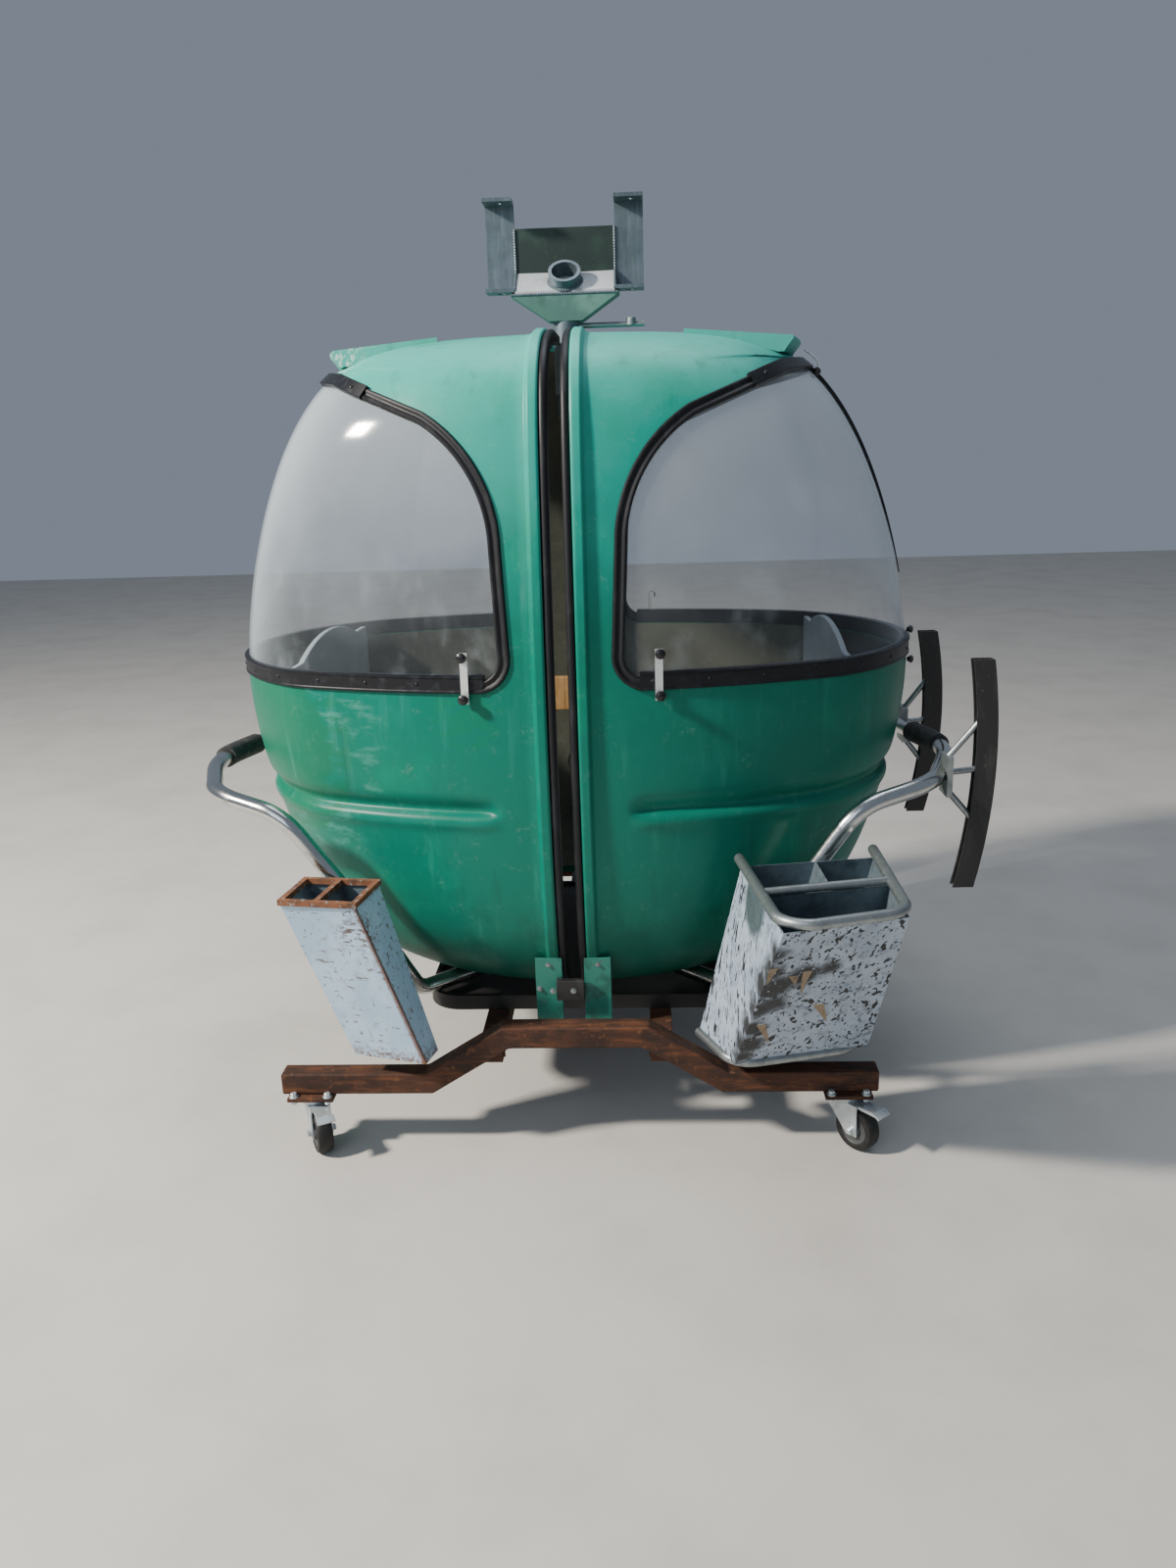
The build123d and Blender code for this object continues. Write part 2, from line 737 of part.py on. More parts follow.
def make_hanger_socket():
    """Short tube that stands square on the sloped shelf."""
    return socket_bar(socket_outer_radius) - socket_bar(socket_bore_radius)


def make_hanger_gusset():
    """Funnel of plates under the shelf, down to the hanger tube."""
    top = Pos(0, 5, channel_low - channel_wall) * Rectangle(2 * gusset_half_top, gusset_depth_top)
    bottom = Pos(0, 0, gusset_low) * Rectangle(2 * gusset_half_bottom, gusset_depth_bottom)
    funnel = loft([bottom, top], ruled=True)
    return funnel - make_hanger_bracket() - socket_bar(socket_outer_radius)


def make_roof_arm():
    """Tube down from the gusset and the arm back to the rear post."""
    tube = Pos(0, 0, (gusset_low + roof_arm_z) / 2) * Cylinder(hanger_tube_radius, gusset_low - roof_arm_z)
    arm = box_between((-post_size / 2, -hanger_tube_radius, roof_arm_z - post_size),
                      (post_size / 2, post_y - post_size / 2, roof_arm_z))
    return tube + arm


def make_rear_post():
    """Square post from the floor pan to the roof arm."""
    half = post_size / 2
    return box_between((-half, post_y - half, pan_low + pan_thickness), (half, post_y + half, roof_arm_z))


def make_hinge_lugs():
    """Lugs back from the post and the pins on the hinge line."""
    pieces = []
    span = hinge_knuckle_length + 2 * hinge_running_gap
    for height in hinge_heights:
        lug = box_between((-12, post_y + post_size / 2, height - hinge_knuckle_length / 2),
                          (12, hinge_y, height + hinge_knuckle_length / 2))
        ring = Pos(0, hinge_y, height) * Cylinder(hinge_knuckle_radius, hinge_knuckle_length)
        pin = Pos(0, hinge_y, height) * Cylinder(hinge_pin_radius, 3 * span + 6)
        pieces.append(lug + ring + pin)
    return Compound(pieces)


def make_post_board():
    """Wooden board across the front of the post."""
    front = post_y - post_size / 2
    return box_between((-board_width / 2, front - board_thickness, board_low),
                       (board_width / 2, front, board_low + board_height))


def make_roof_lever():
    """Thin lever rod out of the hanger tube, with a knob."""
    bar = rod((0, 0, lever_z), (lever_reach, 0, lever_z), lever_radius)
    knob = Pos(lever_knob_x, 0, lever_z + lever_radius) * Cylinder(lever_knob_radius, 16)
    return (bar + knob) - Pos(0, 0, lever_z) * Cylinder(hanger_tube_radius, 60)


def make_floor_pan():
    """Shallow pan under the shells, with a raised lip and a tongue back under the post."""
    plan = RectangleRounded(2 * pan_half_length, 2 * pan_half_depth, pan_corner)
    pan = Pos(0, 0, pan_low) * extrude(plan, amount=pan_thickness)
    tray = RectangleRounded(2 * (pan_half_length - pan_lip), 2 * (pan_half_depth - pan_lip), pan_corner - pan_lip)
    pan -= Pos(0, 0, pan_low + pan_thickness - pan_lip) * extrude(tray, amount=pan_lip)
    tongue = box_between((-pan_tongue_half_width, 0, pan_low),
                         (pan_tongue_half_width, pan_tongue_end, pan_low + pan_thickness))
    tongue -= box_between((-2000, -2000, pan_low + pan_thickness - pan_lip),
                          (2000, pan_half_depth - pan_lip, 2000))
    return pan + tongue


def make_beam(side):
    """Square tube across the trolley, with its middle raised by two bends."""
    half = beam_size / 2
    low, high = beam_low + half, beam_low + half + beam_rise
    points = [(-beam_half_length, low), (-beam_lower_bend, low), (-beam_upper_bend, high),
              (beam_upper_bend, high), (beam_lower_bend, low), (beam_half_length, low)]
    with BuildSketch(Plane.XZ) as sketch:
        with BuildLine() as line:
            Polyline(*points)
        trace(line.line, line_width=beam_size)
    beam = extrude(sketch.sketch, amount=half, both=True)
    beam &= box_between((-beam_half_length, -half - 1, 0), (beam_half_length, half + 1, 3000))
    return Pos(0, side * beam_y, 0) * beam


def make_rails():
    """Two square tubes from beam to beam, under the floor pan."""
    half = beam_size / 2
    beams = make_beam(-1) + make_beam(1)
    rails = []
    for side in (-1, 1):
        rails.append(box_between((side * rail_x - half, -beam_y, rail_low),
                                 (side * rail_x + half, beam_y, rail_low + beam_size)) - beams)
    return Compound([max(r.solids(), key=lambda s: s.volume) for r in rails])


def make_castor_plates():
    """Steel plates welded under the beam ends."""
    length, width, thickness = castor_plate_size
    return Compound([
        Pos(sx * castor_x, sy * beam_y, beam_low - thickness / 2) * Box(length, width, thickness)
        for _, sx, sy, _ in castors])


def castor_place(sx, sy, angle):
    """Castor's own frame: swivel axis at the origin, trail along +X."""
    return Pos(sx * castor_x, sy * beam_y, 0) * Rot(0, 0, angle)


def make_castor_fork():
    """Swivel head, bridge, two cheeks, brake pedal and axle pin."""
    seat = beam_low - castor_plate_size[2] - castor_gap
    head = Pos(0, 0, seat - castor_head_height / 2) * Cylinder(castor_head_radius, castor_head_height)
    bridge_top = seat - castor_head_height
    outer = fork_inner + fork_sheet
    bridge = box_between((-castor_head_radius, -outer, fork_bridge_z), (castor_trail + 12, outer, bridge_top))
    cheeks = []
    for side in (-1, 1):
        y_low, y_high = sorted((side * fork_inner, side * outer))
        with BuildSketch(Plane.XZ) as sketch:
            with BuildLine():
                Polyline((-castor_head_radius, bridge_top), (castor_trail + 12, bridge_top),
                         (castor_trail + 14, wheel_radius - 12), (castor_trail - 14, wheel_radius - 12),
                         (-castor_head_radius, bridge_top - 18), close=True)
            make_face()
        sheet = extrude(sketch.sketch, amount=fork_sheet / 2, both=True)
        cheeks.append(Pos(0, (y_low + y_high) / 2, 0) * sheet)
    axle = Pos(castor_trail, 0, wheel_radius) * Rot(90, 0, 0) * Cylinder(axle_radius, 2 * outer + 8)
    pedal = box_between((castor_trail, -pedal_width / 2, fork_bridge_z), (pedal_reach, pedal_width / 2, bridge_top))
    lip = Pos(pedal_reach, 0, bridge_top) * Rot(0, 25, 0) * box_between(
        (-4, -pedal_width / 2 - 3, -4), (14, pedal_width / 2 + 3, 0))
    return head + bridge + cheeks[0] + cheeks[1] + axle + pedal + lip


def make_castor_wheel():
    """Tyred wheel with its hub, bored for the axle pin."""
    tyre = fillet(Cylinder(wheel_radius, wheel_width).edges(), 6)
    hub = Cylinder(hub_radius, hub_width)
    wheel = tyre + hub - Cylinder(wheel_bore, wheel_width * 2)
    return Pos(castor_trail, 0, wheel_radius) * Rot(90, 0, 0) * wheel


def left_of(shape):
    """Mirror image of a right-hand piece."""
    return mirror(shape, about=Plane.YZ)


def stand(shape, side):
    """Swing a closed half's piece about the hinge line to where it stands."""
    turn = ajar_angle[side] if side == "right" else -ajar_angle[side]
    return Pos(0, hinge_y, 0) * Rot(0, 0, turn) * Pos(0, -hinge_y, 0) * shape


def mirrored_corners(corners):
    """Left-hand corner list seen from the right, for pieces worked out on the right."""
    return [(-x, y) for x, y in corners]


def build_pieces():
    """Every piece by node name, hanger on the Z axis, halves swung to where they stand."""
    pieces = {
        "hanger_bracket": make_hanger_bracket(),
        "hanger_socket": make_hanger_socket(),
        "hanger_gusset": make_hanger_gusset(),
        "roof_lever": make_roof_lever(),
        "roof_arm": make_roof_arm(),
        "rear_post": make_rear_post(),
        "hinge_lugs": make_hinge_lugs(),
        "post_board": make_post_board(),
        "floor_pan": make_floor_pan(),
        "trolley_beam_front": make_beam(-1),
        "trolley_beam_rear": make_beam(1),
        "trolley_rails": make_rails(),
        "castor_plates": make_castor_plates(),
    }
    both_halves = {
        "shell": make_shell(),
        "window": make_window(),
        "window_profile": make_window_profile(),
        "sill_trim": make_sill_trim(),
        "window_clips": make_clips(),
        "seam_seal": make_seal(),
        "foot_plate": make_foot_plate(),
        "bench": make_bench(),
        "bumper_tube": make_bumper_tube(),
        "tube_sleeve": make_sleeve(),
    }
    for name, shape in both_halves.items():
        pieces[f"{name}_right"] = stand(shape, "right")
        pieces[f"{name}_left"] = stand(left_of(shape), "left")
    pieces["hinge_leaves_right"] = stand(make_hinge_leaves(1), "right")
    pieces["hinge_leaves_left"] = stand(left_of(make_hinge_leaves(-1)), "left")
    pieces["stop_block"] = stand(make_stop_block(), "left")
    pieces["basket_left"] = stand(make_left_basket(), "left")
    pieces["basket_left_rim"] = stand(make_left_rim(), "left")
    pieces["basket_left_clamps"] = stand(left_of(make_basket_clamps(
        mirrored_corners(left_basket_bottom), left_basket_bottom_z,
        mirrored_corners(left_basket_top), left_basket_top_z)), "left")
    pieces["basket_right"] = stand(make_right_basket(), "right")
    pieces["basket_right_rims"] = stand(make_right_rims(), "right")
    pieces["basket_right_clamps"] = stand(make_basket_clamps(
        right_basket_bottom, right_basket_bottom_z, right_basket_top, right_basket_top_z), "right")
    pieces["guide_bars"] = stand(make_guide_bars(), "right")
    pieces["guide_brackets"] = stand(make_guide_brackets(), "right")
    for name, sx, sy, angle in castors:
        pieces[f"castor_fork_{name}"] = castor_place(sx, sy, angle) * make_castor_fork()
        pieces[f"castor_wheel_{name}"] = castor_place(sx, sy, angle) * make_castor_wheel()
    return pieces


def frame_shift(pieces):
    """Move that puts the middle of the overall box on the Z axis, floor at zero."""
    boxes = [shape.bounding_box() for shape in pieces.values()]
    low_x, high_x = min(b.min.X for b in boxes), max(b.max.X for b in boxes)
    low_y, high_y = min(b.min.Y for b in boxes), max(b.max.Y for b in boxes)
    return Vector(-round((low_x + high_x) / 2), -round((low_y + high_y) / 2), 0)


def main():
    """Build every piece and write one STEP file each."""
    os.makedirs("parts", exist_ok=True)
    pieces = build_pieces()
    shift = frame_shift(pieces)
    for name, shape in pieces.items():
        placed = Pos(shift) * shape
        solids = placed.solids()
        export_step(solids[0] if len(solids) == 1 else Compound(solids), f"parts/{name}.step")
    print("frame shift", shift.X, shift.Y)


if __name__ == "__main__":
    main()
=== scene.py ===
import json
from types import SimpleNamespace

import bmesh
import bpy
import numpy as np
from mathutils import Matrix, Vector

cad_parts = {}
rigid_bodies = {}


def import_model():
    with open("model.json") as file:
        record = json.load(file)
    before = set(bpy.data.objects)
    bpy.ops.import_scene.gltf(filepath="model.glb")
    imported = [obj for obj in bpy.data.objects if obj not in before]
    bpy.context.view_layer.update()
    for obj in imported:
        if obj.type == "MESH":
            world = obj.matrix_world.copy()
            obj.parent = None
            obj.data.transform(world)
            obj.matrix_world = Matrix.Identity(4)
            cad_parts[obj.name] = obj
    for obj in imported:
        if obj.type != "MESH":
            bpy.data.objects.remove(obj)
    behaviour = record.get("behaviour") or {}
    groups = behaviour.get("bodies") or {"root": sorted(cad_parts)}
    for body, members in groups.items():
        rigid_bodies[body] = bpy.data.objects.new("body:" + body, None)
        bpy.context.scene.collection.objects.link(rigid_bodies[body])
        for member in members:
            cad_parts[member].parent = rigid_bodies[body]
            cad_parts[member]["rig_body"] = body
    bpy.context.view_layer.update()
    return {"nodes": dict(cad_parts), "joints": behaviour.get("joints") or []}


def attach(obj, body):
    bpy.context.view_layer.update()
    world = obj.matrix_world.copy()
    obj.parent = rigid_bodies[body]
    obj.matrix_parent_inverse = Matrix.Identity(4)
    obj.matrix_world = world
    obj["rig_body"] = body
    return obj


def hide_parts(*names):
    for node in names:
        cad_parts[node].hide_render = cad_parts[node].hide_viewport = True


bl_info = {
    "name": "Two-shell cable car cabin",
    "version": (1, 0, 0),
    "blender": (4, 5, 0),
    "location": "3D View > Sidebar > Cabin",
    "description": "Shells, bubble windows, rubbers, baskets, trolley and finishes of an egg-shaped cabin",
    "category": "Object",
}

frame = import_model()
SIDES = ("right", "left")
JOINTS = {joint["child"]: joint for joint in frame["joints"]}
CASTORS = ("front_left", "front_right", "rear_left", "rear_right")


# The cabin's own shape

# Outer sections of the body, foot to crown: height, half length, half depth, in millimetres.
SECTIONS = np.array([
    (330, 430, 400), (410, 584, 460), (520, 672, 490), (700, 742, 514), (1000, 796, 522),
    (1230, 768, 512), (1430, 708, 494), (1580, 634, 466), (1680, 550, 412), (1731, 455, 325),
    (1758, 290, 200),
], float)
FOOT, CROWN = SECTIONS[0, 0], SECTIONS[-1, 0]
# Share of the way to the corner of its box that each section reaches.
FULLNESS = 0.749
# Corner radius of each section, as a share of its half depth.
CORNER = 0.47
# Thickness of the shell, and distance of the hinge line behind the hanger.
WALL, HINGE_Y = 20.0, 565.0
# Distance of the meeting edges from the seam plane, and at the back, from BACK_SLOT behind the hanger on.
SEAM, BACK_SEAM, BACK_SLOT = 20.9, 35.0, 250.0
# Radius of the hanger's opening in the roof.
HOLE = 55.5
# Sill rail: heights of its edges, and how far from the seam plane it starts.
SILL_LOW, SILL_HIGH, SILL_START = 1032.4, 1070.0, 150.4
# Width of the flange round the open floor.
FLANGE = 60.0
# Edges of the steel pieces that turn by more than this stay sharp and are bevelled.
ROUNDED = float(np.radians(32))
# Corners of each basket's foot and mouth, front left, front right, back right, back left as the viewer
# sees them, and how far from its middle axis its outer faces are at least.
BASKETS = {
    "right": (np.array([(337, -640, 242), (632, -567, 242), (566, -420, 242), (270, -490, 242)], float),
              np.array([(400, -917, 668), (643, -844, 668), (645, -506, 668), (357, -551, 668)], float), 45),
    "left": (np.array([(-471, -580, 236), (-305, -624, 236), (-290, -559, 236), (-457, -515, 236)], float),
             np.array([(-580, -657, 634), (-417, -679, 634), (-398, -542, 634), (-564, -523, 634)], float),
             22),
}
# Left basket's front edge towards the cabin, foot and mouth, where its enamel rusts.
RUSTED_EDGE = ((305, -624, 236), (417, -679, 634))
# Tears in the right basket's film: share across its front and down it, then radius in millimetres.
TEARS = ((0.01, 0.16, 22), (0.03, 0.28, 26), (0.08, 0.40, 40), (0.28, 0.33, 36), (0.48, 0.30, 22),
         (0.03, 0.56, 28), (0.14, 0.52, 26), (0.03, 0.70, 30), (0.05, 0.84, 34), (0.04, 0.94, 22))
# Flaps of it that curl out: the same shares, then width, length and how far they lean to the side.
FLAPS = ((0.20, 0.30, 34, 30, 0.2), (0.33, 0.27, 26, 62, -0.3), (0.47, 0.55, 30, 52, 0.5),
         (0.06, 0.22, 26, 46, -0.5), (0.08, 0.66, 24, 54, 0.4))


def natural_spline(values, samples):
    """Smooth cubic through rows of values, with the distance between the rows as its parameter.

    Each span is the cubic whose second derivative runs straight between its two ends,
    and the second derivatives are solved so that the slopes meet.
    """
    knots = np.concatenate([[0], np.cumsum(np.linalg.norm(np.diff(values, axis=0), axis=1))])
    steps, count = np.diff(knots), len(knots)
    slopes = np.diff(values, axis=0) / steps[:, None]
    inner = np.arange(1, count - 1)
    matrix, right = np.eye(count), np.zeros(values.shape)
    matrix[inner, inner - 1], matrix[inner, inner + 1] = steps[:-1], steps[1:]
    matrix[inner, inner] = 2 * (steps[:-1] + steps[1:])
    right[1:-1] = 6 * np.diff(slopes, axis=0)
    bends = np.linalg.solve(matrix, right)
    at = np.linspace(0, knots[-1], samples)
    span = np.clip(np.searchsorted(knots, at, side="right") - 1, 0, count - 2)
    low, high, step = (knots[span + 1] - at)[:, None], (at - knots[span])[:, None], steps[span][:, None]
    return (bends[span] * low**3 + bends[span + 1] * high**3) / (6 * step) \
        + (values[span] / step - bends[span] * step / 6) * low \
        + (values[span + 1] / step - bends[span + 1] * step / 6) * high


BODY = natural_spline(SECTIONS, 3000)


def section_at(height):
    """Half length and half depth of the body at each height."""
    return np.interp(height, BODY[:, 0], BODY[:, 1]), np.interp(height, BODY[:, 0], BODY[:, 2])


def oval_arcs(a, b):
    """Corner centre and radius, side and end radii, and the normal's angle where the arcs meet."""
    norm = np.hypot(1 / a, 1 / b)
    radius = CORNER * b
    cx, cy = FULLNESS * a - radius / a / norm, FULLNESS * b - radius / b / norm
    side = (radius**2 - cx**2 - (b - cy)**2) / (2 * (radius - b + cy))
    end = (radius**2 - cy**2 - (a - cx)**2) / (2 * (radius - a + cx))
    return cx, cy, radius, side, end, np.arctan2(cy - b + side, cx), np.arctan2(cy, cx - a + end)


def oval_point(a, b, angle):
    """Point of the oval where its outward normal has the angle from +X; the front has negative angles.

    The oval is six circles that meet smoothly: two long sides, two ends and the corners between them.
    """
    cx, cy, radius, side, end, side_turn, end_turn = oval_arcs(a, b)
    turn = np.abs(angle)
    cases = [turn > side_turn, turn < end_turn]
    x = np.select(cases, [side * np.cos(turn), a - end + end * np.cos(turn)], cx + radius * np.cos(turn))
    y = np.select(cases, [b - side + side * np.sin(turn), end * np.sin(turn)], cy + radius * np.sin(turn))
    return x, np.where(angle < 0, -y, y)


def angle_at(a, b, x):
    """Normal's angle, as a positive number, at the oval's point a distance x from the seam plane."""
    cx, _, radius, side, end, side_turn, end_turn = oval_arcs(a, b)
    by_side = np.arccos(np.clip(x / side, -1, 1))
    by_corner = np.arccos(np.clip((x - cx) / radius, -1, 1))
    by_end = np.arccos(np.clip((x - a + end) / end, -1, 1))
    return np.where(by_side > side_turn, by_side, np.where(by_corner > end_turn, by_corner, by_end))


def arc_of(a, b, angle):
    """Distance along the oval from its end (angle 0) to the point with a positive normal's angle."""
    _, _, radius, side, end, side_turn, end_turn = oval_arcs(a, b)
    return end * np.minimum(angle, end_turn) + radius * np.clip(angle - end_turn, 0, side_turn - end_turn) \
        + side * np.maximum(angle - side_turn, 0)


def angle_of_arc(a, b, arc):
    """The other way round: normal's angle at a distance along the oval from its end."""
    _, _, radius, side, end, side_turn, end_turn = oval_arcs(a, b)
    first, second = end * end_turn, end * end_turn + radius * (side_turn - end_turn)
    return np.where(arc < first, arc / end,
                    np.where(arc < second, end_turn + (arc - first) / radius,
                             side_turn + (arc - second) / side))


def body_point(height, angle, offset=0.0):
    """Point of the body at a height and normal's angle, moved out along its normal, and that normal.

    The oval's own normal is tipped by how fast the oval grows with height.
    """
    height, angle, offset = np.broadcast_arrays(height, angle, offset)
    x, y = oval_point(*section_at(height), angle)
    up, down = np.minimum(height + 1.0, CROWN), np.maximum(height - 1.0, FOOT)
    xu, yu = oval_point(*section_at(up), angle)
    xd, yd = oval_point(*section_at(down), angle)
    growth = ((xu - xd) * np.cos(angle) + (yu - yd) * np.sin(angle)) / (up - down)
    normal = np.stack([np.cos(angle), np.sin(angle), -growth], -1)
    normal /= np.linalg.norm(normal, axis=-1, keepdims=True)
    return np.stack([x, y, height], -1) + normal * offset[..., None], normal


def smooth(low, high, value):
    """0 below low, 1 above high and an even S between."""
    share = np.clip((value - low) / (high - low), 0, 1)
    return share * share * (3 - 2 * share)


def window_outline():
    """Front edge of the window opening as rows of (distance from the seam plane, height), foot to top.

    A small circle at the lower corner, a leaning line, a circle over the shoulder, three lines to the end.
    """
    corner_centre, corner_radius, corner_turns = (164.3, 1102.9), 71, (-93.5, -188.2)
    shoulder_points = (104.0, 1330.0), (150.0, 1490.0), (260.0, 1598.0)
    top_points = (460, 1681), (620, 1710), (1000, 1711)
    turn = np.radians(np.linspace(*corner_turns, 40))
    corner = corner_centre + corner_radius * np.stack([np.cos(turn), np.sin(turn)], -1)
    p, q, r = np.array(shoulder_points)
    matrix = 2 * np.array([q - p, r - p])
    centre = np.linalg.solve(matrix, [q @ q - p @ p, r @ r - p @ p])
    first, last = np.arctan2(*(p - centre)[::-1]) % (2 * np.pi), np.arctan2(*(r - centre)[::-1]) % (2 * np.pi)
    turn = np.linspace(first, last, 40)[1:-1]
    shoulder = centre + np.hypot(*(p - centre)) * np.stack([np.cos(turn), np.sin(turn)], -1)
    rows = np.vstack([corner, [p], shoulder, [r, *top_points]])
    along = np.concatenate([[0], np.cumsum(np.hypot(*np.diff(rows, axis=0).T))])
    at = np.linspace(0, along[-1], 1200)
    return np.stack([np.interp(at, along, rows[:, k]) for k in (0, 1)], -1)


OUTLINE = window_outline()


def outline_moved(margin):
    """The outline moved into the window by a margin, square to its run averaged over nine points."""
    run = np.gradient(OUTLINE, axis=0)
    run /= np.linalg.norm(run, axis=1, keepdims=True)
    width = 9
    weights = np.ones(width) / width
    padded = np.pad(run, ((width // 2, width // 2), (0, 0)), "edge")
    run = np.stack([np.convolve(padded[:, k], weights, "valid") for k in (0, 1)], -1)
    return OUTLINE + margin * np.stack([run[:, 1], -run[:, 0]], -1)


def outline_x(height, margin=0.0):
    """Distance of the outline from the seam plane at each height."""
    line = outline_moved(margin)
    return np.interp(height, line[:, 1], line[:, 0])


def outline_top(margin=0.0):
    """Height at which the front and back outlines meet at the cabin's end."""
    heights = np.linspace(1500, OUTLINE[-1, 1], 2111)
    return heights[np.argmax(outline_x(heights, margin) >= section_at(heights)[0])]


def outline_path(margin, samples):
    """The outline laid on the body, up the front, round the end and down the back, with its normals.

    Points are close together near the end, where the body turns, and are then spread evenly.
    """
    line = outline_moved(margin)
    inside = line[:, 0] < section_at(line[:, 1])[0]
    last = np.argmin(inside)
    count = (last - 0.5) * (1 - (1 - np.linspace(0, 1, 900))**2)
    x, z = [np.interp(count, np.arange(len(line)), line[:, k]) for k in (0, 1)]
    a, b = section_at(z)
    turn = angle_at(a, b, np.minimum(x, a))
    turn[-1] = 0
    points, normals = body_point(np.concatenate([z, z[-2::-1]]), np.concatenate([-turn, turn[-2::-1]]))
    return spread(points, normals, samples)


def spread(points, normals, samples):
    """A path's points and normals again, evenly spaced along it."""
    along = np.concatenate([[0], np.cumsum(np.linalg.norm(np.diff(points, axis=0), axis=1))])
    at = np.linspace(0, along[-1], samples)
    points = np.stack([np.interp(at, along, points[:, k]) for k in range(3)], -1)
    normals = np.stack([np.interp(at, along, normals[:, k]) for k in range(3)], -1)
    return points, normals / np.linalg.norm(normals, axis=1, keepdims=True)


# From the drawing to the frame

def placed(points, side=None):
    """Drawing millimetres (hanger on the Z axis, halves closed) to metres in the row's frame.

    The left half is the mirror image in X. Each half is turned about the hinge line by the angle
    between closed and rest, which is its joint's lower limit.
    """
    points = np.array(points, float) / 1000
    pin = JOINTS["half_right"]["pos_m"]
    if side:
        if side == "left":
            points[..., 0] *= -1
        turn = -np.radians(JOINTS["half_" + side]["range_deg"][0]) * (1 if side == "right" else -1)
        x, y = points[..., 0].copy(), points[..., 1] - HINGE_Y / 1000
        points[..., 0] = x * np.cos(turn) - y * np.sin(turn)
        points[..., 1] = x * np.sin(turn) + y * np.cos(turn) + HINGE_Y / 1000
    return points + np.array([pin[0], pin[1] - HINGE_Y / 1000, 0.0])


def drawn(point):
    """A point of the frame, in drawing millimetres."""
    return (np.array(point) - placed([0.0, 0.0, 0.0])) * 1000


# Meshes

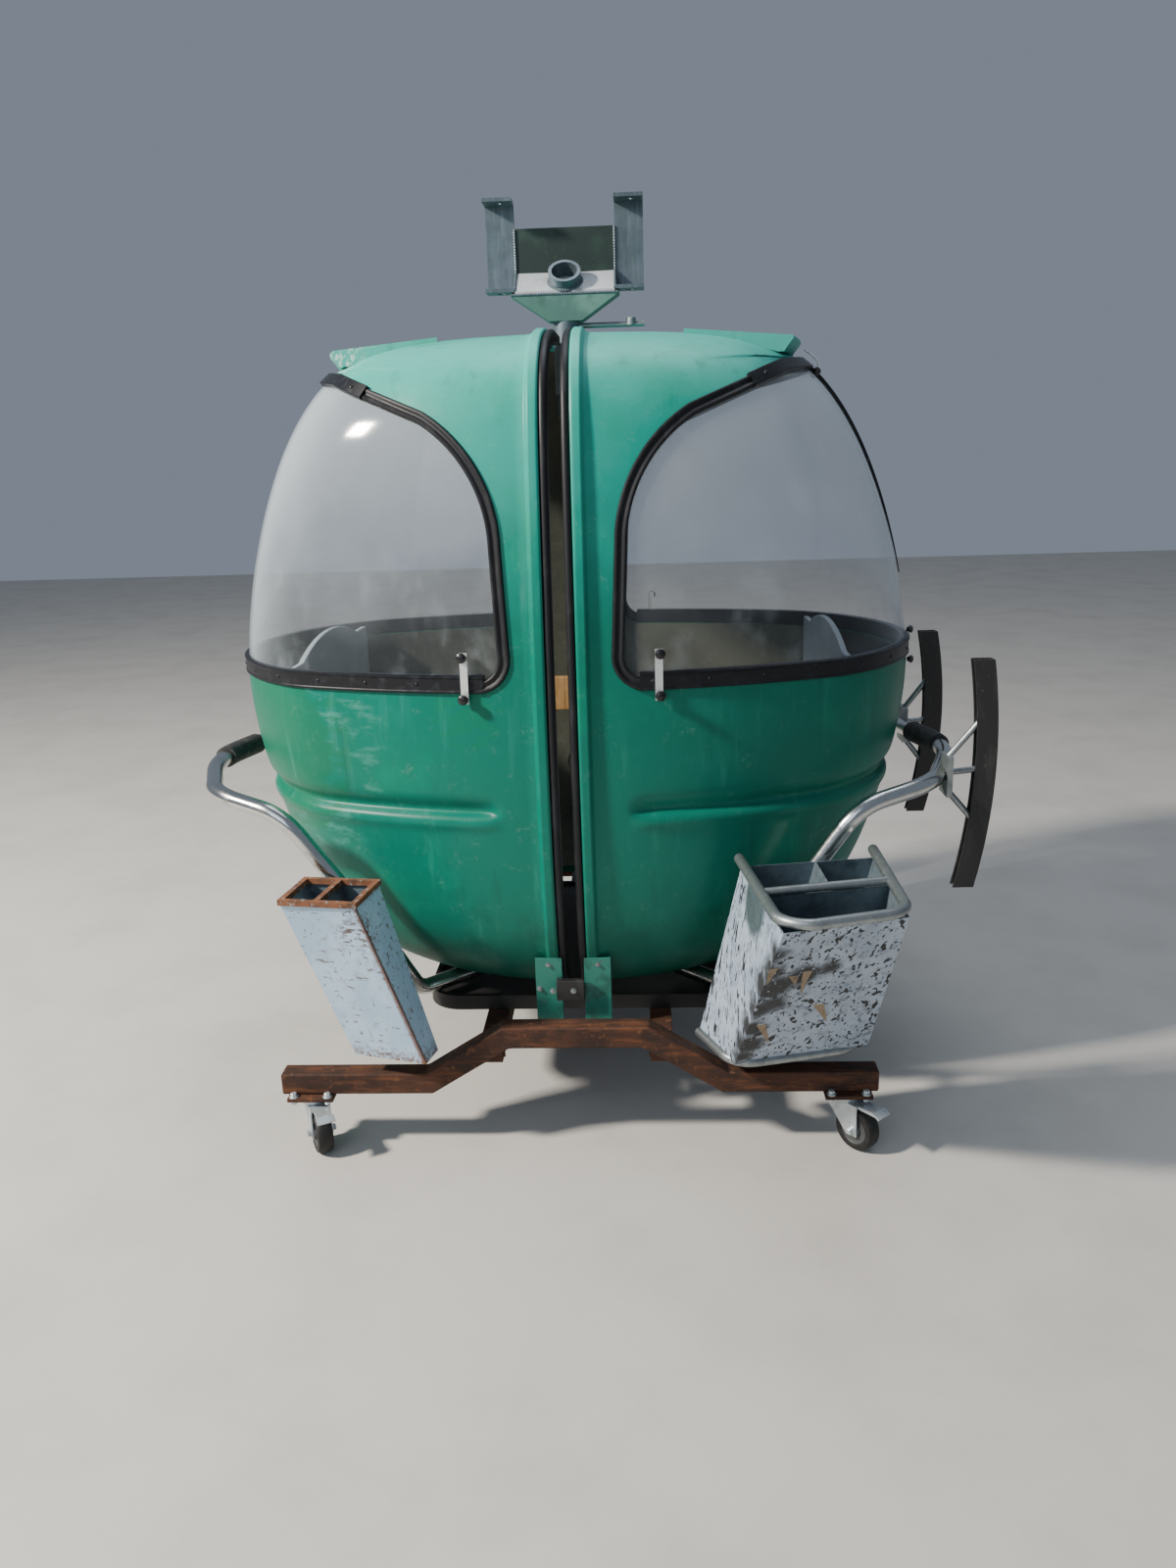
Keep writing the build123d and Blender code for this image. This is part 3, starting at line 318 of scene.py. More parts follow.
class Form:
    """Collects grids of quads and single faces, in drawing millimetres, and becomes one mesh object."""

    def __init__(self):
        self.points, self.faces, self.slots, self.total = [], [], [], 0

    def add(self, points, faces, slot=0):
        """Loose faces over their own points."""
        points = np.asarray(points, float).reshape(-1, 3)
        self.points.append(points)
        self.faces += [[i + self.total for i in face] for face in faces]
        self.slots += [slot] * len(faces)
        self.total += len(points)

    def grid(self, points, slot=0, ring=False):
        """Quads between neighbouring points of a grid; with ring, its last column meets its first."""
        rows, columns = points.shape[:2]
        index = np.arange(rows * columns).reshape(rows, columns)
        if ring:
            index = np.hstack([index, index[:, :1]])
        quads = np.stack([index[:-1, :-1], index[:-1, 1:], index[1:, 1:], index[1:, :-1]], -1)
        self.add(points, quads.reshape(-1, 4).tolist(), slot)

    def sweep(self, path, normals, profile, slot=0):
        """Profile carried along a path: path + across * u + normal * v, across being tangent x normal."""
        tangent = np.gradient(path, axis=0)
        across = np.cross(tangent, normals)
        across /= np.linalg.norm(across, axis=1, keepdims=True)
        normals = np.cross(across, tangent)
        normals /= np.linalg.norm(normals, axis=1, keepdims=True)
        profile = np.asarray(profile, float)
        rows = path[:, None] + across[:, None] * profile[None, :, :1]
        rows = rows + normals[:, None] * profile[None, :, 1:]
        self.grid(rows, slot, ring=True)
        order = list(range(len(profile)))
        self.add(rows[0], [order], slot)
        self.add(rows[-1], [order], slot)

    def lathe(self, centre, axis, profile, slot=0, steps=20):
        """Profile of (distance along the axis, radius) turned about the axis."""
        axis = np.asarray(axis, float) / np.linalg.norm(axis)
        u = np.cross(axis, (0, 0, 1.0) if abs(axis[2]) < 0.9 else (1.0, 0, 0))
        u /= np.linalg.norm(u)
        v = np.cross(axis, u)
        turn = np.linspace(0, 2 * np.pi, steps, endpoint=False)[:, None]
        ring = np.cos(turn) * u + np.sin(turn) * v
        along, radius = np.asarray(profile, float).T
        self.grid(np.asarray(centre, float) + along[:, None, None] * axis + radius[:, None, None] * ring,
                  slot, True)

    def tube(self, path, radius, up=(0, 0, 1.0), slot=0, steps=10):
        """Round bar along a path that isn't parallel to up; radius is a number or one for each point.

        A path that ends where it starts is closed.
        """
        path = np.asarray(path, float)
        closed = np.allclose(path[0], path[-1])
        tangent = np.gradient(path, axis=0)
        if closed:
            tangent[0] = tangent[-1] = path[1] - path[-2]
        u = np.cross(tangent, up)
        u /= np.linalg.norm(u, axis=1, keepdims=True)
        v = np.cross(tangent, u)
        v /= np.linalg.norm(v, axis=1, keepdims=True)
        turn = np.linspace(0, 2 * np.pi, steps, endpoint=False)[None, :, None]
        radius = np.broadcast_to(radius, len(path))[:, None, None]
        rows = path[:, None] + radius * (np.cos(turn) * u[:, None] + np.sin(turn) * v[:, None])
        self.grid(rows, slot, True)
        if not closed:
            for end in (rows[0], rows[-1]):
                self.add(end, [list(range(steps))], slot)

    def weld(self, points, up, radius=3.6, slot=0):
        """Weld bead along a line: a bar half sunk in the corner, swelling once every 6 mm."""
        points = np.asarray(points, float)
        length = np.linalg.norm(np.diff(points, axis=0), axis=1).sum()
        path = spread(points, np.ones_like(points), int(length / 1.5) + 2)[0]
        at = np.linspace(0, length, len(path))
        self.tube(path, radius * (1 + 0.16 * np.sin(2 * np.pi * at / 6)), up, slot, 8)

    def bolt(self, centre, axis, size, slot=0, washer=True):
        """Hexagon head of a width across flats, with a bevelled top, on a washer."""
        lift = size * 0.15 if washer else 0.0
        if washer:
            self.lathe(centre, axis, [(0, 0), (0, size * .82), (lift, size * .82), (lift, 0)], slot)
        top = lift + size * 0.6
        self.lathe(centre, axis, [(lift, 0), (lift, size * .56), (top - size * .08, size * .56),
                                  (top, size * .46), (top, 0)], slot, 6)

    def rivet(self, centre, axis, radius, slot=0):
        """Low dome."""
        turn = np.linspace(0, np.pi / 2, 6)
        self.lathe(centre, axis,
                   [(-1.0, radius)] + list(zip(0.6 * radius * np.sin(turn), radius * np.cos(turn))), slot, 14)

    def build(self, name, materials, body, side=None, replaces=(), soft=38):
        """Mesh in the row's frame, doubled points merged, faces turned outwards, riding on its body."""
        mesh = bpy.data.meshes.new(name)
        mesh.from_pydata(placed(np.vstack(self.points), side).tolist(), [], self.faces)
        mesh.polygons.foreach_set("material_index", self.slots)
        for material in materials:
            mesh.materials.append(material)
        work = bmesh.new()
        work.from_mesh(mesh)
        bmesh.ops.remove_doubles(work, verts=work.verts, dist=0.00003)
        bmesh.ops.dissolve_degenerate(work, edges=work.edges, dist=0.00001)
        bmesh.ops.recalc_face_normals(work, faces=work.faces)
        limit = float(np.radians(soft))
        for edge in work.edges:
            edge.smooth = len(edge.link_faces) != 2 or edge.calc_face_angle(0.0) < limit
        work.to_mesh(mesh)
        work.free()
        mesh.polygons.foreach_set("use_smooth", [True] * len(mesh.polygons))
        mesh.update()
        piece = bpy.data.objects.new(name, mesh)
        bpy.context.scene.collection.objects.link(piece)
        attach(piece, body)
        if replaces:
            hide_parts(*replaces)
        return piece


def eased(node, materials, width_mm, segments=2, slot_at=None, cuts=()):
    """Copy of a CAD node with its triangles merged into flat faces and its edges rounded by a bevel.

    slot_at gives a face's material slot from its centre, in drawing millimetres, and its normal, and
    cuts are the places on X where flat faces are split first, so that the slots can differ.
    """
    source = frame["nodes"][node]
    mesh = source.data.copy()
    mesh.name = node + "_eased"
    mesh.materials.clear()
    for material in materials:
        mesh.materials.append(material)
    work = bmesh.new()
    work.from_mesh(mesh)
    bmesh.ops.remove_doubles(work, verts=work.verts, dist=0.00002)
    for x in cuts:
        bmesh.ops.bisect_plane(work, geom=[*work.verts, *work.edges, *work.faces],
                               plane_co=placed([x, 0, 0]).tolist(), plane_no=(1, 0, 0), dist=0.00001)
    for face in work.faces:
        face.smooth = True
        face.material_index = slot_at(drawn(face.calc_center_median()),
                                      np.array(face.normal)) if slot_at else 0
    bmesh.ops.dissolve_limit(work, angle_limit=np.radians(0.6), verts=work.verts, edges=work.edges,
                             delimit={"MATERIAL"})
    for edge in work.edges:
        edge.smooth = len(edge.link_faces) != 2 or edge.calc_face_angle(0.0) < ROUNDED
    work.to_mesh(mesh)
    work.free()
    piece = bpy.data.objects.new(node + "_eased", mesh)
    bpy.context.scene.collection.objects.link(piece)
    bevel = piece.modifiers.new("eased edges", "BEVEL")
    bevel.width = width_mm / 1000
    bevel.segments = segments
    bevel.limit_method = "ANGLE"
    bevel.angle_limit = ROUNDED
    bevel.use_clamp_overlap = True
    bevel.harden_normals = True
    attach(piece, source["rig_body"])
    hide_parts(node)
    return piece


def hanger_slot(centre, normal):
    """Channels 0, back plate 1 and the shelf under it 2; the back plate takes painted shade and the shelf
    painted light.
    """
    if abs(centre[0]) > 112:
        return 0
    return 1 if centre[2] > 1912 else 2


def basket_slot(side):
    """For one basket, the function that gives 0 on its outer faces and 1 inside it."""
    low, high, reach = BASKETS[side]

    def slot(centre, normal):
        share = (centre[2] - low[0, 2]) / (high[0, 2] - low[0, 2])
        middle = low.mean(0) + (high.mean(0) - low.mean(0)) * share
        out = (centre[:2] - middle[:2]) @ normal[:2]
        return 0 if out > reach or normal[2] < -0.8 else 1
    return slot


def dress(material, *nodes):
    """Gives CAD nodes a finish."""
    for name in nodes:
        mesh = frame["nodes"][name].data
        mesh.materials.clear()
        mesh.materials.append(material)


# Finishes

def linear(colour):
    """sRGB hex to linear red, green, blue and full alpha; a linear colour is passed on."""
    if not isinstance(colour, str):
        return (*tuple(colour)[:3], 1.0)
    value = np.array([int(colour[i:i + 2], 16) for i in (1, 3, 5)]) / 255
    value = np.where(value <= 0.04045, value / 12.92, ((value + 0.055) / 1.055)**2.4)
    return (*value.tolist(), 1.0)


def add(tree, kind, inputs=None, **settings):
    """Adds a node, sets its properties, and sets or links its inputs."""
    node = tree.nodes.new(kind)
    for name, value in settings.items():
        setattr(node, name, value)
    for key, value in (inputs or {}).items():
        if isinstance(value, bpy.types.NodeSocket):
            tree.links.new(value, node.inputs[key])
        else:
            node.inputs[key].default_value = value
    return node


def mask(tree, where, pattern, size, stretch=(1, 1, 1), cut=(0.45, 0.6), shift=0.0, detail=5.0, at=None,
         side=None, times=None):
    """0 to 1 over the surface: a pattern with features of a size in millimetres, stretched along X, Y and Z.

    'clouds' is fractal noise and 'grains' random flat cells. 'height' rises with Z from one height to
    another, 'spot' with the distance from a place on one half of the cabin and 'line' with the distance
    from a straight edge through two places, all in millimetres and made uneven by noise of the given size.
    cut gives the values that become 0 and 1, and times is what the result is multiplied by.
    """
    scale = tuple(1000 / size / s for s in stretch)
    moved = (shift, shift * 0.7, shift * 1.3)
    place = add(tree, "ShaderNodeMapping", {0: where, 1: moved, 3: scale}).outputs[0]
    if pattern == "grains":
        value = add(tree, "ShaderNodeTexVoronoi", {"Vector": place, "Scale": 1.0}).outputs["Color"]
    else:
        noise = {"Vector": place, "Scale": 1.0, "Detail": detail, "Roughness": 0.62}
        value = add(tree, "ShaderNodeTexNoise", noise).outputs[0]
    if pattern in ("height", "spot", "line"):
        if pattern == "height":
            reach = add(tree, "ShaderNodeSeparateXYZ", {0: where}).outputs[2]
        elif pattern == "spot":
            spot = placed(at, side)
            reach = add(tree, "ShaderNodeVectorMath", {0: where, 1: spot}, operation="DISTANCE").outputs[1]
        else:
            start, end = placed(at, side)
            away = add(tree, "ShaderNodeVectorMath", {0: where, 1: start}, operation="SUBTRACT").outputs[0]
            run = (end - start) / np.linalg.norm(end - start)
            across = add(tree, "ShaderNodeVectorMath", {0: away, 1: run},
                         operation="CROSS_PRODUCT").outputs[0]
            reach = add(tree, "ShaderNodeVectorMath", {0: across}, operation="LENGTH").outputs[1]
        low, high = cut
        rise = add(tree, "ShaderNodeMapRange", {0: reach, 1: low / 1000, 2: high / 1000}).outputs[0]
        value = add(tree, "ShaderNodeMath", {0: value, 1: 0.5}, operation="SUBTRACT").outputs[0]
        value = add(tree, "ShaderNodeMath", {0: value, 1: 0.9, 2: rise}, operation="MULTIPLY_ADD").outputs[0]
        cut = (0.0, 1.0)
    value = add(tree, "ShaderNodeMapRange", {0: value, 1: cut[0], 2: cut[1]},
                interpolation_type="SMOOTHSTEP").outputs[0]
    if times is not None:
        value = add(tree, "ShaderNodeMath", {0: value, 1: times}, operation="MULTIPLY").outputs[0]
    return value


def finish(name, colour, rough, metal=0.0, layers=(), grain=None, alpha=None, glance=0.0, **sockets):
    """Principled surface: a base colour, then layers laid over it in order, each where its mask is 1.

    The layers come from layer(). grain is (size, height) of a fine bump, in millimetres.
    glance is how much more of a clear surface shows where it is seen along itself, as its gloss grows there.
    """
    material = bpy.data.materials.new(name)
    material.use_nodes = True
    tree = material.node_tree
    tree.nodes.clear()
    where = add(tree, "ShaderNodeTexCoord").outputs["Object"]
    now = {"colour": linear(colour), "rough": rough, "metal": metal,
           "alpha": alpha if alpha is not None else 1.0}
    height = None
    if grain:
        size, rise = grain
        noise = {"Vector": where, "Scale": 1000 / size, "Detail": 3.0}
        value = add(tree, "ShaderNodeTexNoise", noise).outputs[0]
        height = add(tree, "ShaderNodeMath", {0: value, 1: rise}, operation="MULTIPLY").outputs[0]
    for coat in layers:
        value = mask(tree, where, *coat["mask"][:2], **coat["mask"][2], times=coat["amount"])
        if "within" in coat:
            other = mask(tree, where, *coat["within"][:2], **coat["within"][2])
            value = add(tree, "ShaderNodeMath", {0: value, 1: other}, operation="MULTIPLY").outputs[0]
        if "colour" in coat:
            blend = {0: value, 6: now["colour"], 7: linear(coat["colour"])}
            now["colour"] = add(tree, "ShaderNodeMix", blend, data_type="RGBA").outputs[2]
        for key in ("rough", "metal", "alpha"):
            if key in coat:
                now[key] = add(tree, "ShaderNodeMix", {0: value, 2: now[key], 3: coat[key]}).outputs[0]
        if "lift" in coat:
            raised = {0: value, 1: coat["lift"], 2: 0.0 if height is None else height}
            height = add(tree, "ShaderNodeMath", raised, operation="MULTIPLY_ADD").outputs[0]
    inputs = {"Base Color": now["colour"], "Roughness": now["rough"], "Metallic": now["metal"]}
    if alpha is not None:
        along = add(tree, "ShaderNodeLayerWeight", {"Blend": 0.5}).outputs["Facing"]
        gloss = add(tree, "ShaderNodeMath", {0: along, 1: 4.0}, operation="POWER").outputs[0]
        inputs["Alpha"] = add(tree, "ShaderNodeMath", {0: gloss, 1: glance, 2: now["alpha"]},
                              operation="MULTIPLY_ADD", use_clamp=True).outputs[0]
    inputs.update(sockets)
    if height is not None:
        bump = {"Height": height, "Distance": 0.001, "Strength": 1.0}
        inputs["Normal"] = add(tree, "ShaderNodeBump", bump).outputs[0]
    shader = add(tree, "ShaderNodeBsdfPrincipled", inputs)
    add(tree, "ShaderNodeOutputMaterial", {0: shader.outputs[0]})
    return material


def even(size, low, high, **more):
    """Arguments of a cloud mask: its size, and the noise values that become 0 and 1."""
    return "clouds", size, {"cut": (low, high), **more}


def rising(size, none, full):
    """Arguments of a mask between the height where it is 0 and the one where it is 1."""
    return "height", size, {"cut": (none, full)}


def near(size, at, side, none, full):
    """Arguments of a mask round a place of one half, by the distances where it is 0 and 1."""
    return "spot", size, {"at": at, "side": side, "cut": (none, full)}


def along_edge(size, ends, side, none, full):
    """Arguments of a mask beside a straight edge of one half, by the distances where it is 0 and 1."""
    return "line", size, {"at": ends, "side": side, "cut": (none, full)}


def layer(pattern, amount=1.0, **changes):
    """One coat or mark of a finish: the mask that says where it is and how much of it there is.

    changes are any of colour, rough, metal and alpha, a second mask 'within', and 'lift' in millimetres.
    """
    return {"mask": pattern, "amount": amount, **changes}


# Crystals of hot-dip zinc, about 13 mm across.
SPANGLE = ("grains", 13, {"cut": (0.1, 0.9)})


# Every material by a short name, once make_finishes has run.
FINISHES = {}


def film_point(across, down, lift=0.0):
    """A point of the right basket's front, by its share from the left edge and from the top, moved out."""
    low, high, _ = BASKETS["right"]
    top = high[0] + (high[1] - high[0]) * across
    foot = low[0] + (low[1] - low[0]) * across
    out = np.cross(low[0] - high[0], high[1] - high[0])
    return top + (foot - top) * down + out / np.linalg.norm(out) * lift


# Glass-fibre shell, brushed with two-pack paint: satin, lighter up the pillars and on the roof, partly
# bleached by the sun and partly painted sky sheen, with rain streaks, dull patches of old repaint, and darker
# towards the foot.
def paint_finish(colours):
    return finish(
        "painted glass fibre", colours.paint, 0.36, layers=(
            # Pillars and roof lighter: sun bleaching, and painted sky sheen on the upward-facing paint.
            layer(rising(260, 1080, 1560), colour=colours.pillar_fade_and_sheen, rough=0.34),
            layer(rising(200, 1560, 1730), colour=colours.roof_fade_and_sheen, rough=0.42),
            layer(even(230, 0.50, 0.66), colour="#008a68", amount=0.3),
            layer(near(70, (640, -340, 900), "left", 330, 250), colour="#58a898", rough=0.5, amount=0.32,
                  within=even(24, 0.50, 0.68, stretch=(3, 3, 1), shift=2.0)),
            layer(near(70, (650, -330, 900), "left", 180, 160), colour="#00684e", rough=0.4, amount=0.9),
            layer(near(60, (650, -330, 900), "left", 235, 215), colour="#00684e", rough=0.4, amount=0.85,
                  within=even(26, 0.46, 0.50, stretch=(2, 2, 1))),
            layer(near(40, (190, -510, 985), "left", 85, 65), colour="#006e52", rough=0.42, amount=0.7,
                  within=even(22, 0.46, 0.52, stretch=(2, 2, 1), shift=9.0)),
            layer(even(30, 0.54, 0.76, stretch=(1, 1, 9)), colour="#4fa696", rough=0.45, amount=0.16),
            layer(even(42, 0.56, 0.76, stretch=(1, 1, 14), shift=7.0), colour="#00463b", rough=0.42,
                  amount=0.35),
            layer(even(7, 0.66, 0.74), colour="#2a6a5c", rough=0.6, amount=0.4),
            layer(near(40, (500, -190, 1735), "left", 110, 40), within=even(9, 0.5, 0.6), colour="#c4e2d6",
                  rough=0.6, amount=0.8),
            # Darker towards the foot.
            layer(rising(120, 620, 330), colour="#06281f", rough=0.55, amount=0.6),
        ), grain=(55, 0.5), **{"Specular IOR Level": 0.24})


# Inside of the shell: the same laminate, brushed dark khaki grey, matt and uneven.
def inside_finish():
    return finish("brushed inner laminate", "#44473c", 0.75, layers=(
        layer(even(90, 0.45, 0.65), colour="#33362e", amount=0.6),
        layer(even(12, 0.55, 0.7), colour="#5d5f50", amount=0.5),), grain=(14, 0.5))


# Blown acrylic: clear, but hazed by years of wiping, with fine scratches and dried rain.
def acrylic_finish():
    return finish(
        "hazed acrylic", "#d0dce4", 0.04, alpha=0.02, glance=0.6, layers=(
            layer(rising(320, 1120, 1560), alpha=0.17, rough=0.08),
            layer(even(70, 0.50, 0.76, stretch=(1.3, 1, 2)), alpha=0.15, rough=0.25, amount=0.7),
            layer(even(3.5, 0.70, 0.77), alpha=0.6, rough=0.4, amount=0.7),
        ), **{"IOR": 1.49, "Specular IOR Level": 1.0})


# Moulded nylon centre of the castor wheels: dark grey and matt, darker with road dirt.
def rim_grey_finish():
    return finish("grey moulded wheel centre", "#414445", 0.5, layers=(
        layer(even(10, 0.55, 0.7), colour="#2d2e2f", rough=0.7, amount=0.7),), grain=(3, 0.1))


# Extruded EPDM profile: black going grey, softly shining along its beads.
def rubber_finish():
    return finish("weathered rubber", "#101115", 0.48, layers=(
        layer(even(30, 0.5, 0.7, stretch=(1, 1, 3)), colour="#232529", rough=0.65, amount=0.8),
        layer(even(5, 0.64, 0.72), colour="#4b4d50", rough=0.8, amount=0.5),), grain=(4, 0.15),
        **{"Specular IOR Level": 0.35})


# Black lacquered aluminium strip: a low even sheen, with chalky marks.
def strip_finish():
    return finish("black lacquered strip", "#111318", 0.36, layers=(
        layer(even(22, 0.52, 0.7), colour="#24272e", rough=0.55, amount=0.7),
        layer(even(4, 0.67, 0.73), colour="#7d8084", rough=0.6, amount=0.6),), grain=(9, 0.12),
        **{"Specular IOR Level": 0.35})


# Stainless tube, once polished: bright, with dull water marks and hairline scratches.
def stainless_finish():
    return finish("polished stainless steel", "#c9cbc9", 0.20, 1.0, layers=(
        layer(even(60, 0.5, 0.7), colour="#a3a5a3", rough=0.36, amount=0.8),
        layer(even(7, 0.62, 0.72), colour="#77736b", rough=0.5, amount=0.6),), grain=(3, 0.03))


# Hot-dip zinc: frosty grey crystals of about 13 mm, with white bloom.
def zinc_finish():
    return finish("hot-dip galvanised steel", "#8b9294", 0.44, 0.85, layers=(
        layer(SPANGLE, colour="#a5abab", rough=0.36, amount=0.6),
        layer(even(70, 0.5, 0.7), colour="#6b7374", rough=0.6, amount=0.6),
        layer(even(14, 0.6, 0.75), colour="#b3b8b5", rough=0.7, metal=0.3, amount=0.5),), grain=(6, 0.08))


# The hanger's zinc, gone matt and blue-grey in the weather, with drawn lines up its channels.
def tarnish_finish():
    return finish("tarnished galvanised steel", "#65727a", 0.42, 0.6, layers=(
        layer(even(140, 0.40, 0.66), colour="#48545a", rough=0.5, amount=0.8),
        layer(even(7, 0.45, 0.72, stretch=(1, 1, 14)), colour="#8895a0", rough=0.4, amount=0.35),
        layer(even(30, 0.58, 0.74, shift=4.0), colour="#4f6a61", metal=0.3, rough=0.65, amount=0.5),
        layer(even(6, 0.66, 0.76), colour="#3b3027", metal=0.1, rough=0.8, amount=0.4),), grain=(7, 0.1))


# The hanger's back plate: the same zinc painted dark green-black, which is painted shade.
def shaded_zinc_finish():
    return finish("green-black weathered steel", "#22312d", 0.5, 0.3, layers=(
        layer(even(70, 0.45, 0.7), colour="#30463e", amount=0.7),
        layer(even(11, 0.60, 0.74), colour="#4d6a5e", rough=0.6, amount=0.4),), grain=(7, 0.15))


# The hanger's shelf: the same zinc painted pale, which is painted light on its upward face, with a dirty
# edge.
def lit_zinc_finish():
    return finish("rain-washed galvanised steel", "#b6bcc0", 0.5, 0.25, layers=(
        layer(even(90, 0.48, 0.66), colour="#8b8f90", amount=0.6),
        layer(even(9, 0.62, 0.76), colour="#6d6558", rough=0.7, amount=0.5),), grain=(7, 0.1))


# The gusset's zinc under a film of old green paint.
def green_zinc_finish():
    return finish("green-stained galvanised steel", "#4f756b", 0.5, 0.35, layers=(
        layer(even(120, 0.42, 0.66), colour="#6f9a8e", rough=0.5, amount=0.7),
        layer(even(40, 0.54, 0.7, shift=3.0), colour="#3c5a52", rough=0.6, amount=0.5),
        layer(even(6, 0.66, 0.74), colour="#4a3a2c", metal=0.0, rough=0.85, amount=0.5),), grain=(5, 0.15))


# Inside of the ski baskets: bare galvanised sheet, dark with dirt.
def sheet_finish():
    return finish("dirty galvanised sheet", "#6f7f88", 0.5, 0.5, layers=(
        layer(SPANGLE, colour="#83929a", rough=0.42, amount=0.5),
        layer(even(60, 0.44, 0.66), colour="#4a565d", rough=0.65, amount=0.75),), grain=(6, 0.08))


# Mill-finish square tube left outdoors: even brown rust, darker pits and pale dusty bloom.
def rust_finish():
    return finish("rusted mild steel", "#46291a", 0.8, 0.1, layers=(
        layer(even(80, 0.42, 0.6), colour="#261812", amount=0.75),
        layer(even(9, 0.48, 0.68, stretch=(12, 2, 2)), colour="#744526", amount=0.55),
        layer(even(8, 0.52, 0.66, stretch=(14, 2, 2), shift=5.0), colour="#291b14", amount=0.6),
        layer(even(20, 0.58, 0.7, shift=2.0), colour="#855430", amount=0.5),
        layer(even(5, 0.62, 0.7), colour="#241a15", amount=0.8, lift=-0.35),), grain=(3, 0.25))


# Rim bar of the left basket: orange rust with flakes of paint left on it.
def rim_finish():
    return finish("rusted bar with paint flakes", "#7a4f35", 0.85, 0.1, layers=(
        layer(even(30, 0.45, 0.62), colour="#4a3427", amount=0.8),
        layer(even(11, 0.58, 0.64, shift=5.0), colour="#8e9a9c", rough=0.6, amount=0.9, lift=0.2),
    ), grain=(4, 0.3))


# Pale blue-grey enamel on sheet steel, with chips down to rust, run-off stains and a rusting foot.
def enamel_finish():
    return finish("pale enamelled sheet", "#a6c3da", 0.38, layers=(
        layer(even(110, 0.46, 0.66), colour="#bcd7ec", amount=0.7),
        layer(even(16, 0.56, 0.74, stretch=(1, 1, 7)), colour="#8497a4", rough=0.5, amount=0.5),
        layer(even(7, 0.64, 0.66, stretch=(1, 1, 2)), colour="#53493f", rough=0.8, amount=0.9, lift=-0.2),
        layer(even(16, 0.60, 0.63, stretch=(2.6, 1, 0.8), shift=11.0), colour="#6b5646", rough=0.8,
              amount=0.8),
        layer(near(26, (420, -660, 560), "left", 60, 15), within=even(8, 0.48, 0.56, stretch=(3, 1, 1)),
              colour="#5e5046", rough=0.8),
        layer(even(26, 0.58, 0.72, shift=6.0), colour="#8d7b66", rough=0.7, amount=0.4),
        layer(along_edge(16, RUSTED_EDGE, "left", 12, 3), colour="#6b4129", rough=0.85, amount=0.9),
        layer(rising(14, 275, 236), within=even(9, 0.44, 0.56), colour="#7c5234", rough=0.8, amount=0.9),
    ), grain=(60, 0.5))


# White self-adhesive film on galvanised sheet: slit all over by small upright cuts, torn along one corner.
def film_finish():
    torn = [layer(near(24, film_point(across, down), "right", radius + 16, radius - 14), lift=-0.5,
                  within=even(14, 0.33, 0.39, stretch=(1, 1, 2.4)), colour="#2a2d30", rough=0.65)
            for across, down, radius in TEARS]
    return finish("peeling white film", "#a3b2c3", 0.42, layers=(
        layer(even(85, 0.45, 0.66), colour="#8695a6", amount=0.7),
        layer(even(8, 0.62, 0.64, stretch=(1, 1, 3.6), detail=1.5), lift=-0.5, colour="#2b3035", rough=0.6),
        layer(even(14, 0.62, 0.632, stretch=(1, 1, 4.2), detail=1.5, shift=3.0), lift=-0.6, colour="#1c2023",
              rough=0.6),
        layer(near(40, (370, -700, 640), "right", 85, 60), colour="#66757c", metal=0.6),
        *torn,
        layer(rising(8, 254, 243), colour="#33373a", rough=0.7, amount=0.8)), grain=(20, 0.3))


# Back of the film where it has torn and curled: its beige adhesive.
def flap_finish():
    return finish("film adhesive", "#97846a", 0.7, layers=(
        layer(even(12, 0.5, 0.68), colour="#5d5245", amount=0.7),), grain=(6, 0.2))


# Black brushed paint on rolled steel, chipped along its length.
def black_finish():
    return finish("black painted steel", "#1d1d1e", 0.46, layers=(
        layer(even(40, 0.5, 0.68, stretch=(1, 1, 3)), colour="#343434", rough=0.6, amount=0.7),
        layer(even(8, 0.655, 0.69), colour="#6b5d50", rough=0.8, amount=0.7, lift=-0.15),), grain=(8, 0.15))


# Green foot plates: shell paint over steel, rusting at the bolts.
def teal_finish():
    return finish("green painted steel", "#1f6f60", 0.42, layers=(
        layer(even(40, 0.5, 0.68), colour="#12463c", rough=0.55, amount=0.7),
        layer(even(12, 0.62, 0.68), colour="#5b4334", rough=0.85, amount=0.8, lift=-0.2),), grain=(9, 0.2))


# Floor pan: black chassis paint, matt with dust and worn brown by shoes.
def pan_finish():
    return finish("black chassis paint", "#151515", 0.55, layers=(
        layer(even(50, 0.5, 0.7), colour="#2b2a28", rough=0.75, amount=0.8),
        layer(even(7, 0.64, 0.72), colour="#5a4b3e", rough=0.85, amount=0.5),), grain=(12, 0.25))


# Moulded seat: cool grey plastic, slightly glossy.
def seat_finish():
    return finish("moulded grey plastic", "#98a4ab", 0.42, layers=(
        layer(even(120, 0.45, 0.7), colour="#828f98", rough=0.5, amount=0.6),
        layer(even(9, 0.62, 0.74), colour="#b2babd", rough=0.6, amount=0.4),), grain=(30, 0.3))


# Varnished softwood: straight upright grain of about 4 mm between honey-brown bands.
def board_finish():
    return finish("varnished softwood", "#b18a58", 0.4, layers=(
        layer(even(4.5, 0.42, 0.66, stretch=(1, 1, 22)), colour="#8a6238", amount=0.8),
        layer(even(60, 0.5, 0.7), colour="#c8a577", amount=0.5),), grain=(3, 0.1))


# Zinc-plated pressed steel of the castors: bright bluish, dulling to white.
def plated_finish():
    return finish("zinc-plated pressed steel", "#c0c8cc", 0.34, 0.6, layers=(
        layer(even(25, 0.5, 0.7), colour="#939a9d", rough=0.5, amount=0.7),
        layer(even(6, 0.64, 0.72), colour="#6b5a48", rough=0.8, metal=0.1, amount=0.5),), grain=(3, 0.06))


